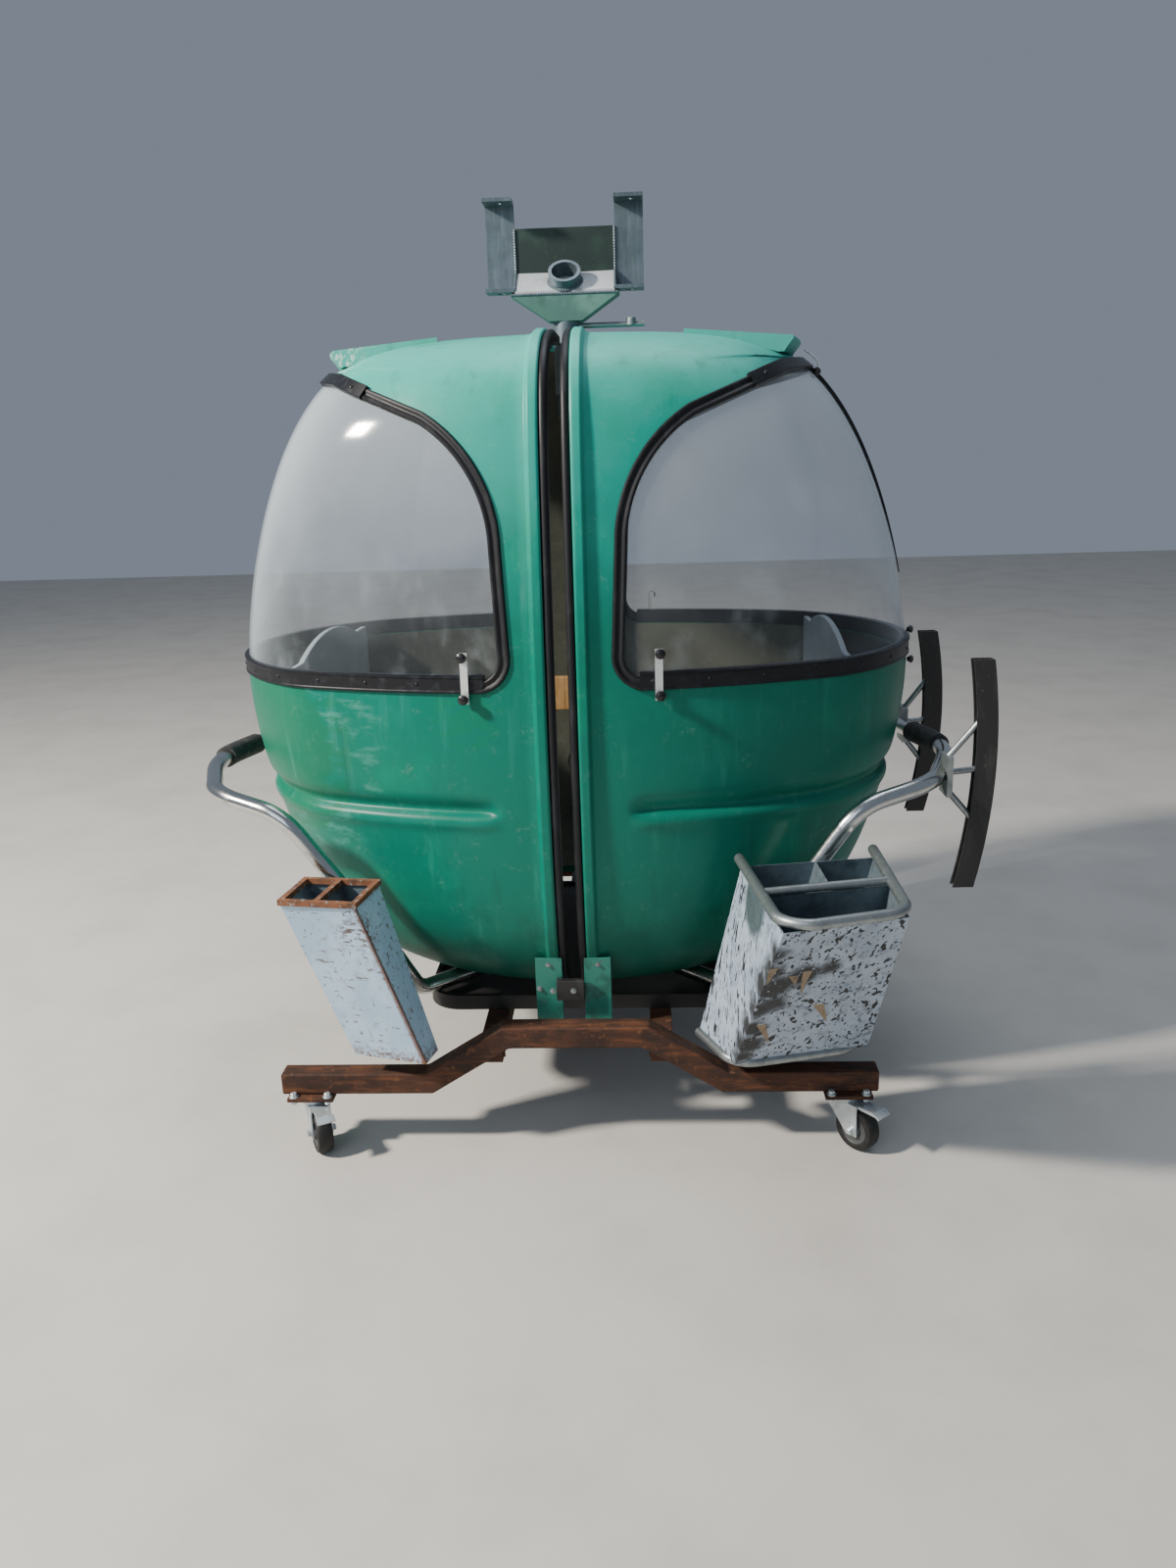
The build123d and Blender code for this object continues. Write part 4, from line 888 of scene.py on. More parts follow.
# Tyre of the castors: nearly black rubber, dusty on its tread.
def tyre_finish():
    return finish("castor rubber", "#101011", 0.62, layers=(
        layer(even(20, 0.5, 0.68), colour="#262523", rough=0.8, amount=0.7),), grain=(3, 0.15))


# Chromed straps and wire: bright, dulled by fine scratches.
def chrome_finish():
    return finish("chromed steel", "#eef0f1", 0.28, 0.6, layers=(
        layer(even(12, 0.55, 0.7), colour="#b9bcbe", rough=0.36, amount=0.6),))


# Moulded phenolic of the knobs: deep black with a small sharp highlight.
def knob_finish():
    return finish("black phenolic plastic", "#121214", 0.3, layers=(
        layer(even(6, 0.55, 0.7), colour="#2c2c2e", rough=0.5, amount=0.7),))


# Foam sleeve of the left tube and rubber sleeve of the right one: matt dark grey, pitted and cracked.
def sleeve_finish():
    return finish("weathered foam rubber", "#2a2b2c", 0.8, layers=(
        layer(even(16, 0.5, 0.66), colour="#4d4c49", amount=0.7),
        layer(even(6, 0.6, 0.68), colour="#16161a", amount=0.9, lift=-0.8),), grain=(6, 0.6))


# Finishes that take no colour from the settings
FINISH_MAKERS = {
    "inside": inside_finish, "acrylic": acrylic_finish, "rim_grey": rim_grey_finish,
    "rubber": rubber_finish, "strip": strip_finish, "stainless": stainless_finish, "zinc": zinc_finish,
    "tarnish": tarnish_finish, "dark_zinc": shaded_zinc_finish, "washed_zinc": lit_zinc_finish,
    "green_zinc": green_zinc_finish, "sheet": sheet_finish, "rust": rust_finish, "rim": rim_finish,
    "enamel": enamel_finish, "film": film_finish, "flap": flap_finish, "black": black_finish,
    "teal": teal_finish, "pan": pan_finish, "seat": seat_finish, "board": board_finish,
    "plated": plated_finish, "tyre": tyre_finish, "chrome": chrome_finish, "knob": knob_finish,
    "sleeve": sleeve_finish,
}


def make_finishes(colours):
    """Every material of the cabin, by a short name."""
    FINISHES["paint"] = paint_finish(colours)
    for name, maker in FINISH_MAKERS.items():
        FINISHES[name] = maker()


# Settings

class CabinSizes(bpy.types.PropertyGroup):
    """Sizes that the surfaces are worked out from"""
    rib_height: bpy.props.FloatProperty(
        name="Rib height", description="How far the seam rib stands out", default=0.012, min=0.0,
        subtype="DISTANCE")
    flank_height: bpy.props.FloatProperty(
        name="Flank height", description="Height of the slope beside the rib", default=0.0025, min=0.0,
        subtype="DISTANCE")
    groove_depth: bpy.props.FloatProperty(
        name="Groove depth", description="Depth of the groove round the lower body", default=0.015, min=0.0,
        subtype="DISTANCE")
    groove_height: bpy.props.FloatProperty(
        name="Groove height", description="Height of the groove over the floor", default=0.77,
        subtype="DISTANCE")
    rivet_pitch: bpy.props.FloatProperty(
        name="Rivet pitch", description="Distance between the sill's rivets", default=0.112, min=0.02,
        subtype="DISTANCE")
    edge_softness: bpy.props.FloatProperty(
        name="Edge softness", description="Bevel on the steel pieces", default=0.0016, min=0.0001,
        subtype="DISTANCE")


class CabinColours(bpy.types.PropertyGroup):
    """Main colours of the paint"""
    paint: bpy.props.FloatVectorProperty(
        name="Paint", description="Shell's paint below the windows", subtype="COLOR", size=4, min=0, max=1,
        default=linear("#006b59"))
    # Lighter than the paint below: sun fading, and painted sky sheen.
    pillar_fade_and_sheen: bpy.props.FloatVectorProperty(
        name="Paint, pillars", description="Shell's paint between the windows", subtype="COLOR", size=4,
        min=0, max=1, default=linear("#1f9485"))
    # Sun-bleached, and lighter still with painted sky sheen.
    roof_fade_and_sheen: bpy.props.FloatVectorProperty(
        name="Paint, roof", description="Shell's sun-bleached paint on the roof", subtype="COLOR", size=4,
        min=0, max=1, default=linear("#48ad9f"))


# Operators

class CabinOperator:
    """What every step of the cabin shares"""
    bl_options = {"REGISTER", "UNDO"}

    def sizes_in_mm(self, context):
        """The size settings in drawing millimetres, to the nearest thousandth."""
        group = context.scene.cabin_sizes
        return SimpleNamespace(**{name: round(getattr(group, name) * 1000, 3)
                                  for name in group.__annotations__})


class CABIN_OT_finishes(CabinOperator, bpy.types.Operator):
    """Makes the materials and gives them to the pieces that keep their CAD shape"""
    bl_idname = "cabin.finishes"
    bl_label = "Finishes"

    def execute(self, context):
        make_finishes(context.scene.cabin_colours)
        plain = {
            "tarnish": ["hanger_bracket", "hanger_socket", "roof_arm"], "green_zinc": ["hanger_gusset"],
            "zinc": ["roof_lever", "rear_post", "hinge_lugs", "guide_brackets", "basket_right_rims"],
            "board": ["post_board"], "pan": ["floor_pan"], "rim": ["basket_left_rim"],
            "rust": ["trolley_beam_front", "trolley_beam_rear", "trolley_rails", "castor_plates"],
            "black": ["stop_block", "guide_bars"], "enamel": ["basket_left"], "film": ["basket_right"],
            "plated": ["castor_fork_" + place for place in CASTORS],
            "tyre": ["castor_wheel_" + place for place in CASTORS],
        }
        by_half = {"paint": "shell_", "acrylic": "window_", "rubber": "window_profile_",
                   "strip": "sill_trim_", "chrome": "window_clips_", "teal": "foot_plate_",
                   "seat": "bench_", "stainless": "bumper_tube_", "sleeve": "tube_sleeve_"}
        for side in SIDES:
            for key, start in by_half.items():
                plain.setdefault(key, []).append(start + side)
            plain["rubber"].append("seam_seal_" + side)
            plain["zinc"] += ["hinge_leaves_" + side, f"basket_{side}_clamps"]
        for key, nodes in plain.items():
            dress(FINISHES[key], *nodes)
        left_over = set(frame["nodes"]) - {node for nodes in plain.values() for node in nodes}
        if left_over:
            raise RuntimeError(f"no finish for {sorted(left_over)}")
        return {"FINISHED"}


def shell_angles(heights):
    """Normal's angle of every grid column at each height, front seam to back seam.

    Columns are close together over the rib, then even up to the window's edge; the middle block
    of columns runs round the end from the front edge of the window to the back one.
    """
    a, b = [values[:, None] for values in section_at(heights)]
    rib = SEAM + np.array([0, .8, 2.2, 5, 9, 13, 15.5, 17.5, 19.2, 21, 22.5, 24, 25.5, 27.3, 29, 31, 34, 38,
                           46])
    edge = np.where(heights < SILL_LOW, outline_x(SILL_LOW), outline_x(heights))[:, None]
    edge = np.minimum(edge, a)
    share = np.linspace(0, 1, 17)[1:]
    edge_arc = arc_of(a, b, angle_at(a, b, edge))
    back_seam = np.where(b > BACK_SLOT + 8, BACK_SEAM, SEAM)
    blocks = []
    for seam in (SEAM, back_seam):
        x = seam + (rib - SEAM) * (rib[-1] - seam) / (rib[-1] - SEAM)
        over_rib = arc_of(a, b, angle_at(a, b, x))
        rib_end = over_rib[:, -1:]
        blocks.append(np.hstack([over_rib, rib_end + (edge_arc - rib_end) * share]))
    middle = edge_arc * np.linspace(-1, 1, 93)[None, 1:-1]
    arcs = np.hstack([-blocks[0], middle, blocks[1][:, ::-1]])
    angle = np.sign(arcs) * angle_of_arc(a, b, np.abs(arcs))
    return angle, blocks[0].shape[1]


# Distances from the seam plane over which the rib falls to its flank, the flank to the body and the groove
# fades in, and the distance behind the hanger over which the rib ends.
RIB_EDGE, FLANK_EDGE, GROOVE_START, RIB_END = (40, 50), (46, 66), (118, 172), (285, 300)
# How far the edge at the seam is rounded off.
SEAM_ROUNDING = 3
# How far the groove's slopes reach above and below its crease, and the height, drop and half width of the
# bead under it.
SLOPE_ABOVE, SLOPE_BELOW = 23.0, 9.0
BEAD_HEIGHT, BEAD_DROP, BEAD_WIDTH = 5.0, 27, 15


def relief(points, sizes):
    """How far the moulding stands out of the plain body: rib and flank at the seam, groove round the bowl.

    The groove is a bell curve that is wider above its crease than below it, with a second, raised one as the
    bead below, both fading in beside the seam.
    """
    x, y, z = np.moveaxis(points, -1, 0)
    step = sizes.rib_height - sizes.flank_height
    rib = step * (1 - smooth(*RIB_EDGE, x)) + sizes.flank_height * (1 - smooth(*FLANK_EDGE, x))
    rib -= SEAM_ROUNDING * (1 - smooth(SEAM, SEAM + SEAM_ROUNDING, x))
    rib *= 1 - smooth(*RIB_END, y)
    away = z - sizes.groove_height
    groove = -sizes.groove_depth * np.exp(-(away / np.where(away > 0, SLOPE_ABOVE, SLOPE_BELOW))**2)
    bead = BEAD_HEIGHT * np.exp(-((away + BEAD_DROP) / BEAD_WIDTH)**2)
    return rib + (groove + bead) * smooth(*GROOVE_START, x)


class CABIN_OT_shells(CabinOperator, bpy.types.Operator):
    """Moulds the two half shells, outside, inside and edges, with rib, groove, window opening and roof lip"""
    bl_idname = "cabin.shells"
    bl_label = "Shells"

    def execute(self, context):
        sizes = self.sizes_in_mm(context)
        sill, top = SILL_LOW - 0.4, outline_top()
        rows = self.row_heights(sizes.groove_height, sill, top)
        sill_row, top_row = int(np.searchsorted(rows, sill)), int(np.searchsorted(rows, top))
        angles, front = shell_angles(rows)
        plain, normals = body_point(rows[:, None], angles)
        above, above_normals = body_point(np.maximum(rows, FOOT + WALL)[:, None], angles)
        inner = above - above_normals * WALL
        inner[..., 2] = np.maximum(inner[..., 2], FOOT + WALL)
        inner[..., 0] = np.maximum(inner[..., 0], SEAM)
        outer = plain + normals * relief(plain, sizes)[..., None]
        outer[:, 0, 0] = inner[:, 0, 0] = SEAM
        crown, under = self.crown(plain[-1], outer[-1], inner[-1], sizes)
        low, high = self.flange(plain[0], angles[0])
        opening, rise = slice(front - 1, -front + 1), slice(sill_row, top_row + 1)
        for side in SIDES:
            form = Form()
            for skin, slot in ((outer, 0), (inner, 1)):
                form.grid(skin[:sill_row + 1], slot)
                form.grid(skin[sill_row:, :front], slot)
                form.grid(skin[sill_row:, -front:], slot)
            for columns in (slice(0, front), slice(-front, None)):
                form.grid(crown[:, columns], 0)
                form.grid(under[:, columns], 1)
                form.grid(np.stack([crown[-1, columns], under[-1, columns]]), 0)
            form.grid(np.stack([outer[0], low, high]), 0)
            form.grid(np.stack([high, inner[0]]), 1)
            # Edges along the seam and round the window
            for column in (0, -1):
                form.grid(np.stack([np.vstack([outer[:, column], crown[1:, column]]),
                                    np.vstack([inner[:, column], under[1:, column]])]), 0)
                form.add([outer[0, column], low[column], high[column], inner[0, column]], [[0, 1, 2, 3]], 0)
            for column in (front - 1, -front):
                form.grid(np.stack([outer[rise, column], inner[rise, column]]), 0)
            form.grid(np.stack([outer[sill_row, opening], inner[sill_row, opening]]), 0)
            self.lip(form)
            form.build("moulded_shell_" + side, [FINISHES["paint"], FINISHES["inside"]], "half_" + side,
                       side, ["shell_" + side], soft=50)
        return {"FINISHED"}

    def row_heights(self, groove, sill, top):
        """Heights of the grid's rows, close together at the groove, over the sill and up to the crown."""
        climb = BODY[:, 0][BODY[:, 0] > top]
        return np.unique(np.concatenate([
            np.linspace(FOOT, groove - 56, 32), np.linspace(groove - 52, groove + 46, 40),
            np.linspace(groove + 52, sill, 18),
            sill + np.array([.3, 1.1, 2.5, 5, 8, 12, 18, 26, 36, 50, 66, 81]),
            np.linspace(sill + 96, 1330, 14), np.linspace(1344, 1600, 24), np.linspace(1608, top, 16),
            climb[::max(1, len(climb) // 12)], [CROWN]]))

    def crown(self, section, outer, inner, sizes):
        """Crown of the roof and its underside, from the last section in to the hanger's round opening.

        In plan each point runs straight to its place on the opening, and rises by a quarter sine wave.
        """
        doming = 3
        polar = np.arctan2(section[:, 1], section[:, 0])
        polar = polar * np.arccos(SEAM / HOLE) / abs(polar[0])
        ring = HOLE * np.stack([np.cos(polar), np.sin(polar)], -1)
        share = np.linspace(0, 1, 14)[:, None, None]
        plan = section[None, :, :2] * (1 - share) + ring[None] * share
        height = CROWN + doming * np.sin(share * np.pi / 2) + 0 * plan[..., :1]
        crown, under = np.concatenate([plan, height], -1), np.concatenate([plan, height - WALL], -1)
        crown[..., 2] += relief(crown, sizes)
        crown[0], under[0] = outer, inner
        return crown, under

    def flange(self, foot, angles):
        """Lower and upper edge of the flange round the open floor, set in from the foot along its normals."""
        outwards = np.stack([np.cos(angles), np.sin(angles), np.zeros_like(angles)], -1)
        low = foot - FLANGE * outwards
        low[:, 0] = np.maximum(low[:, 0], np.where(angles < 0, SEAM, BACK_SEAM))
        return low, low + (0, 0, WALL)

    def lip(self, form):
        """Roof lip over the window: a flat wedge, in plan an arc through both tips, its edge rolled over.

        Each row goes from the roof out to the edge, round the roll, down the slanting face and back inside
        the wall.
        """
        half_width, bow, reach, roll = 205, 38, 532, 4.5
        across = np.linspace(-half_width, half_width, 61)
        radius = (half_width**2 + bow**2) / (2 * bow)
        edge = reach - radius + np.sqrt(radius**2 - across**2)
        turn = np.linspace(0, 2.0, 6)
        inwards = np.concatenate([[235, 150, 80, 30], roll - roll * np.sin(turn), [12, 20, 34, 60, 110, 235]])
        depth = np.concatenate([[0, 0, 0, 0], roll - roll * np.cos(turn), [22, 34.5, 36, 30, 22, 10]])
        tip_height, slope = 1738, np.radians(5)
        x = edge[:, None] - inwards[None]
        z = tip_height - (x - (reach - bow)) * np.sin(slope) - depth[None] * np.cos(slope)
        rows = np.stack([x, across[:, None] + 0 * x, z], -1)
        form.grid(rows, 0, ring=True)
        for end in (rows[0], rows[-1]):
            form.add(end, [list(range(rows.shape[1]))], 0)


class CABIN_OT_windows(CabinOperator, bpy.types.Operator):
    """Blows the two bubble windows and fits the rubber profile and the riveted top strip round them"""
    bl_idname = "cabin.windows"
    bl_label = "Windows"

    def execute(self, context):
        margin = 12.0
        top = outline_top(margin)
        foot = SILL_LOW + 14
        rows = foot + (top - foot) * np.linspace(0, 1, 90)
        a, b = [value[:, None] for value in section_at(rows)]
        edge = np.minimum(outline_x(rows, margin)[:, None], a)
        arc = arc_of(a, b, angle_at(a, b, edge)) * np.linspace(-1, 1, 121)[None]
        turn = np.sign(arc) * angle_of_arc(a, b, np.abs(arc))
        outer = body_point(rows[:, None], turn, -2.0)[0]
        inner = body_point(rows[:, None], turn, -7.0)[0]
        path, normals = outline_path(13.0, 190)
        bead = [(-13, -9), (-13.6, 1.5), (-12, 5), (-9, 6.4), (-5.5, 5.6), (-2.5, 3.2), (0, 2.6),
                (2.5, 3.2), (5.5, 5.4), (8.5, 5.8), (11.5, 3.6), (13, 0.5), (12.4, -9)]
        strip = path[:, 0] > 385
        for side in SIDES:
            pane = Form()
            pane.grid(outer)
            pane.grid(inner)
            for first, second in ((outer[0], inner[0]), (outer[:, 0], inner[:, 0]),
                                  (outer[:, -1], inner[:, -1])):
                pane.grid(np.stack([first, second]))
            pane.build("bubble_pane_" + side, [FINISHES["acrylic"]], "half_" + side, side,
                       ["window_" + side])
            rubber = Form()
            rubber.sweep(path, normals, bead)
            rubber.build("rubber_profile_" + side, [FINISHES["rubber"]], "half_" + side, side,
                         ["window_profile_" + side])
            flat = Form()
            flat.sweep(path[strip], normals[strip],
                       [(-17, -4), (-17, 8.2), (-15.5, 9.4), (12.5, 9.4), (14, 8.2), (14, -4)])
            for at in np.flatnonzero(strip)[[3, -4]]:
                flat.rivet(path[at] + normals[at] * 9.2, normals[at], 5.5)
            flat.build("top_strip_" + side, [FINISHES["strip"]], "half_" + side, side)
        return {"FINISHED"}


class CABIN_OT_sills(CabinOperator, bpy.types.Operator):
    """Lays the black rail along the foot of each window, with rivets, and the knobs on its straps"""
    bl_idname = "cabin.sills"
    bl_label = "Sill rails"

    def execute(self, context):
        sizes = self.sizes_in_mm(context)
        middle = (SILL_LOW + SILL_HIGH) / 2
        a, b = section_at(middle)
        reach = arc_of(a, b, angle_at(a, b, SILL_START))
        arc = np.linspace(-reach, reach, 150)
        turn = np.sign(arc) * angle_of_arc(a, b, np.abs(arc))
        path, normals = body_point(np.full_like(turn, middle), turn)
        normals[:, 2] = 0
        rail = [(-18.6, -15), (-18.8, 5.5), (-17.4, 7.8), (-13.5, 8.0), (-11.5, 6.2), (12.5, 6.0),
                (14.5, 7.6), (17.4, 7.6), (18.8, 5.5), (18.6, -15)]
        count = int(2 * reach / sizes.rivet_pitch)
        spots = np.linspace(-reach + 26, reach - 26, count)
        spot_turn = np.sign(spots) * angle_of_arc(a, b, np.abs(spots))
        points, outward = body_point(np.full_like(spot_turn, middle), spot_turn, 6.0)
        for side in SIDES:
            form = Form()
            form.sweep(path, normals, rail)
            for point, normal in zip(points, outward):
                form.rivet(point, normal, 4.2)
            form.build("sill_rail_" + side, [FINISHES["strip"]], "half_" + side, side,
                       ["sill_trim_" + side])
            knobs = Form()
            knob = [(-1, 0), (-1, 6), (3, 6), (4, 9.5), (9, 11), (13, 10), (15.5, 6), (16, 0)]
            for sign in (-1, 1):
                for height in (1022.0, 1108.0):
                    a2, b2 = section_at(height)
                    point, normal = body_point(height, sign * angle_at(a2, b2, 190.0), 13.0)
                    knobs.lathe(point, normal, knob, 0, 24)
            knobs.build("strap_knobs_" + side, [FINISHES["knob"]], "half_" + side, side)
        return {"FINISHED"}


class CABIN_OT_seals(CabinOperator, bpy.types.Operator):
    """Draws the D-shaped rubber seal along each meeting edge, over the front and the roof"""
    bl_idname = "cabin.seals"
    bl_label = "Seam seals"

    def execute(self, context):
        middle = 11.5
        heights = BODY[:, 0][::12]
        a, b = section_at(heights)
        rise, normals = body_point(heights, -angle_at(a, b, middle))
        roof_y = np.linspace(-186, -60, 12)
        roof = np.stack([np.full_like(roof_y, middle), roof_y, np.full_like(roof_y, CROWN + 1)], -1)
        up = np.tile([0.0, 0.0, 1.0], (len(roof), 1))
        path, normals = spread(np.vstack([rise, roof]), np.vstack([normals, up]), 200)
        back_y = np.linspace(60, 186, 12)
        back = np.stack([np.full_like(back_y, middle), back_y, np.full_like(back_y, CROWN + 1)], -1)
        turn = np.linspace(np.pi, 0, 9)
        dome = [(-8.8, -13.5), (-8.8, 2.0)] + list(zip(8.8 * np.cos(turn), 2.0 + 7.6 * np.sin(turn)))[1:-1] \
            + [(8.8, 2.0), (8.8, -13.5)]
        # Behind the hanger the seal runs on over the roof's back edge
        high = BODY[:, 0][BODY[:, 2] < 296][::-1][::12]
        a, b = section_at(high)
        fall, fall_normals = body_point(high, angle_at(a, b, middle))
        back_path, back_normals = spread(np.vstack([back, fall]), np.vstack([up[:len(back)], fall_normals]),
                                         50)
        keep = back_path[:, 1] < BACK_SLOT
        for side in SIDES:
            form = Form()
            form.sweep(path, normals, dome)
            form.sweep(back_path[keep], back_normals[keep], dome)
            form.build("seal_strip_" + side, [FINISHES["rubber"]], "half_" + side, side,
                       ["seam_seal_" + side])
        return {"FINISHED"}


class CABIN_OT_steelwork(CabinOperator, bpy.types.Operator):
    """Eases the edges of the hanger, the trolley, the plates and the guide bars"""
    bl_idname = "cabin.steelwork"
    bl_label = "Steelwork"

    def execute(self, context):
        width = self.sizes_in_mm(context).edge_softness
        for key, nodes, factor in (
                ("green_zinc", ("hanger_gusset",), 1.2),
                ("rust", ("trolley_beam_front", "trolley_beam_rear", "trolley_rails"), 3.0),
                ("rust", ("castor_plates",), 1.0), ("board", ("post_board",), 2.0),
                ("black", ("stop_block",), 1.2), ("seat", ("bench_right", "bench_left"), 3.0),
                ("teal", ("foot_plate_right", "foot_plate_left"), 1.0), ("black", ("guide_bars",), 0.8)):
            for node in nodes:
                eased(node, [FINISHES[key]], width * factor)
        # The hanger's back plate gets painted shade and its shelf painted light.
        eased("hanger_bracket", [FINISHES[key] for key in ("tarnish", "dark_zinc", "washed_zinc")], width,
              slot_at=hanger_slot, cuts=(-113, 113))
        eased("basket_right", [FINISHES["film"], FINISHES["sheet"]], 0.8, slot_at=basket_slot("right"))
        eased("basket_left", [FINISHES["enamel"], FINISHES["sheet"]], 0.8, slot_at=basket_slot("left"))
        return {"FINISHED"}


class CABIN_OT_castors(CabinOperator, bpy.types.Operator):
    """Turns the castor wheels with tyre, rim and hub, and fits their axle bolts"""
    bl_idname = "cabin.castors"
    bl_label = "Castors"

    def execute(self, context):
        radius, half_width, half_hub, hub, bore, cheek = 50.0, 18.0, 19.5, 17.0, 6.3, 23.0
        rim = [(half_hub, hub), (half_width - 4, hub + 2), (half_width - 4, radius - 20),
               (half_width - 2, radius - 17)]
        tread = [(half_width - 0.5, radius - 15), (half_width, radius - 10), (half_width - 1, radius - 4),
                 (half_width - 5.5, radius - 0.7), (half_width - 12, radius)]
        for place in CASTORS:
            joint = JOINTS["wheel_" + place]
            centre, axis = drawn(joint["pos_m"]), np.array(joint["axis"])
            wheel = Form()
            wheel.lathe(centre, axis, [(along, r) for along, r in rim[-1:] + tread]
                        + [(-along, r) for along, r in (rim[-1:] + tread)[::-1]], 0, 48)
            for side in (-1, 1):
                wheel.lathe(centre, axis * side, rim, 1, 48)
            wheel.lathe(centre, axis, [(half_hub, hub), (half_hub, bore), (-half_hub, bore),
                                       (-half_hub, hub)], 1, 48)
            node = "castor_wheel_" + place
            wheel.build("turned_wheel_" + place, [FINISHES["tyre"], FINISHES["rim_grey"]], "wheel_" + place,
                        None, [node])
            bolts = Form()
            for side in (-1, 1):
                bolts.bolt(centre + axis * side * cheek, axis * side, 13)
            bolts.build("axle_bolts_" + place, [FINISHES["plated"]], "castor_" + place)
        return {"FINISHED"}


class CABIN_OT_fasteners(CabinOperator, bpy.types.Operator):
    """Fits the weld beads of the hanger and the bolts of the plates, the stop block and the castors"""
    bl_idname = "cabin.fasteners"
    bl_label = "Fasteners"

    def execute(self, context):
        # The socket's weld is a circle on the hanger's shelf, which rises 47 mm over 62 mm of depth.
        shelf_slope = np.array([0, 62.0, 47.0]) / np.hypot(62, 47)
        shelf_up = np.cross([1.0, 0, 0], shelf_slope)
        turn = np.linspace(0, 2 * np.pi, 60)[:, None]
        middle, radius = np.array([0, 5.9, 1888.1]), 38
        socket = middle + radius * (np.cos(turn) * [1.0, 0, 0] + np.sin(turn) * shelf_slope)
        welds = Form()
        welds.weld(socket, shelf_up, 4.2)
        welds.weld([(-122, -29, 1858), (122, -29, 1858)], (0, 0, 1), 3.2)
        for side in (-1, 1):
            welds.weld([(side * 115, 36.5, 2006), (side * 115, 36.5, 1914), (side * 115, -24, 1867)],
                       (1, 0, 0), 3.2)
        welds.build("hanger_welds", [FINISHES["tarnish"]], "frame")
        trolley = Form()
        for x in (-598, 598):
            for y in (-548, 548):
                for across in (-38, 38):
                    for along in (-33, 33):
                        trolley.bolt((x + across, y + along, 136), (0, 0, 1), 13)
                        trolley.bolt((x + across, y + along, 126), (0, 0, -1), 13, washer=False)
        trolley.build("castor_bolts", [FINISHES["plated"]], "frame")
        beams = Form()
        for x in (-190, 190):
            for y in (-523, 523):
                for edge in (-25, 25):
                    beams.weld([(x + edge, y * 1.0, 202), (x + edge, y * 1.0, 248)], (1, 0, 0), 3.4)
        beams.build("trolley_welds", [FINISHES["rust"]], "frame")
        for side in SIDES:
            form = Form()
            form.bolt((45, -478, 404), (0, -1, 0), 7)
            if side == "left":
                form.bolt((66, -478, 346), (0, -1, 0), 8)
                form.bolt((34, -499, 350), (0, -1, 0), 8)
                form.bolt((-12, -499, 350), (0, -1, 0), 8)
            form.build("foot_bolts_" + side, [FINISHES["zinc"]], "half_" + side, side)
        return {"FINISHED"}


class CABIN_OT_trim(CabinOperator, bpy.types.Operator):
    """Adds the right window's edge cord, hook and knobs, the latch in the seam and the film's flaps"""
    bl_idname = "cabin.trim"
    bl_label = "Small trim"

    def execute(self, context):
        top = outline_top(12.0)
        self.edge_cord(top)
        self.hook_and_knobs(top)
        self.latch()
        self.film_flaps()
        return {"FINISHED"}

    def edge_cord(self, top):
        """Sealant cord up the end of the right pane, thinning out downwards."""
        heights = np.linspace(1215, top - 4, 60)
        path, _ = body_point(heights, np.radians(-9.5), 1.0)
        cord = Form()
        cord.tube(path, np.linspace(1.2, 6.0, len(path)), (0, 1, 0))
        cord.build("pane_edge_cord", [FINISHES["rubber"]], "half_right", "right")

    def hook_and_knobs(self, top):
        """Wire hook from under the roof lip to a knob at the pane's upper corner, and two knobs low down."""
        knob, out = body_point(top - 22, np.radians(-16), 2.0)
        hook = Form()
        wire = np.array([knob + out * 8, knob + out * 15 + (-4, 0, 8), knob + out * 10 + (-14, 0, 30),
                         knob + out * 6 + (-30, 0, 46)])
        hook.tube(natural_spline(wire, 24), 2.2, (0, 1, 0))
        hook.build("pane_hook", [FINISHES["chrome"]], "half_right", "right")
        ends = Form()
        ends.lathe(knob, out, [(-1, 0), (-1, 8), (3, 9), (10, 8), (13, 4), (13.5, 0)], 0, 20)
        for height in (1016.0, 1086.0):
            point, normal = body_point(height, np.radians(-14), 3.0)
            ends.lathe(point, normal, [(-1, 0), (-1, 5), (4, 6), (6, 9), (11, 9), (14, 5), (14.5, 0)], 0, 20)
        ends.build("pane_knobs", [FINISHES["knob"]], "half_right", "right")

    def latch(self):
        """A flat hook on the right meeting edge."""
        latch = Form()
        line = np.array([(20, -497, 905), (8, -499, 900), (1, -501, 886), (2, -501, 872), (8, -500, 864),
                         (20, -498, 862)])
        latch.tube(natural_spline(line, 30), 4.2, (0, 1, 0))
        latch.build("seam_latch", [FINISHES["black"]], "half_right", "right")

    def film_flaps(self):
        """Torn corners of the film, each a pointed strip that curls away from the sheet towards its tip."""
        corner = film_point(0, 0)
        side_run = film_point(1, 0) - corner
        side_run /= np.linalg.norm(side_run)
        down_run = film_point(0, 1) - corner
        down_run /= np.linalg.norm(down_run)
        out = film_point(0, 0, 1.0) - corner
        share = np.linspace(0, 1, 9)[:, None]
        flaps = Form()
        for across, down, width, length, lean in FLAPS:
            half = width / 2 * (1 - share)**0.8 * np.array([[-1.0, 0.0, 1.0]])
            slide, curl = half + length * lean * share, length * 0.45 * share**1.6
            rows = film_point(across, down) + slide[..., None] * side_run
            rows = rows + (length * share)[..., None] * down_run
            flaps.grid(rows + (curl + 0.6)[..., None] * out)
        flaps.build("film_flaps", [FINISHES["flap"]], "half_right", "right")


# Area lights: name, place, where it points, side in metres, power in watts and tint.
LAMPS = (
    ("key", (-5.2, -2.3, 4.9), (0, 0, 1.0), 0.55, 1030, "#fff7ec"),
    ("fill", (-2.2, -5.2, 3.6), (0, 0, 1.0), 3.5, 70, "#e6f0ff"),
    ("top", (0.3, 1.0, 5.5), (0, 0, 1.2), 3.0, 90, "#f2f7ff"),
)
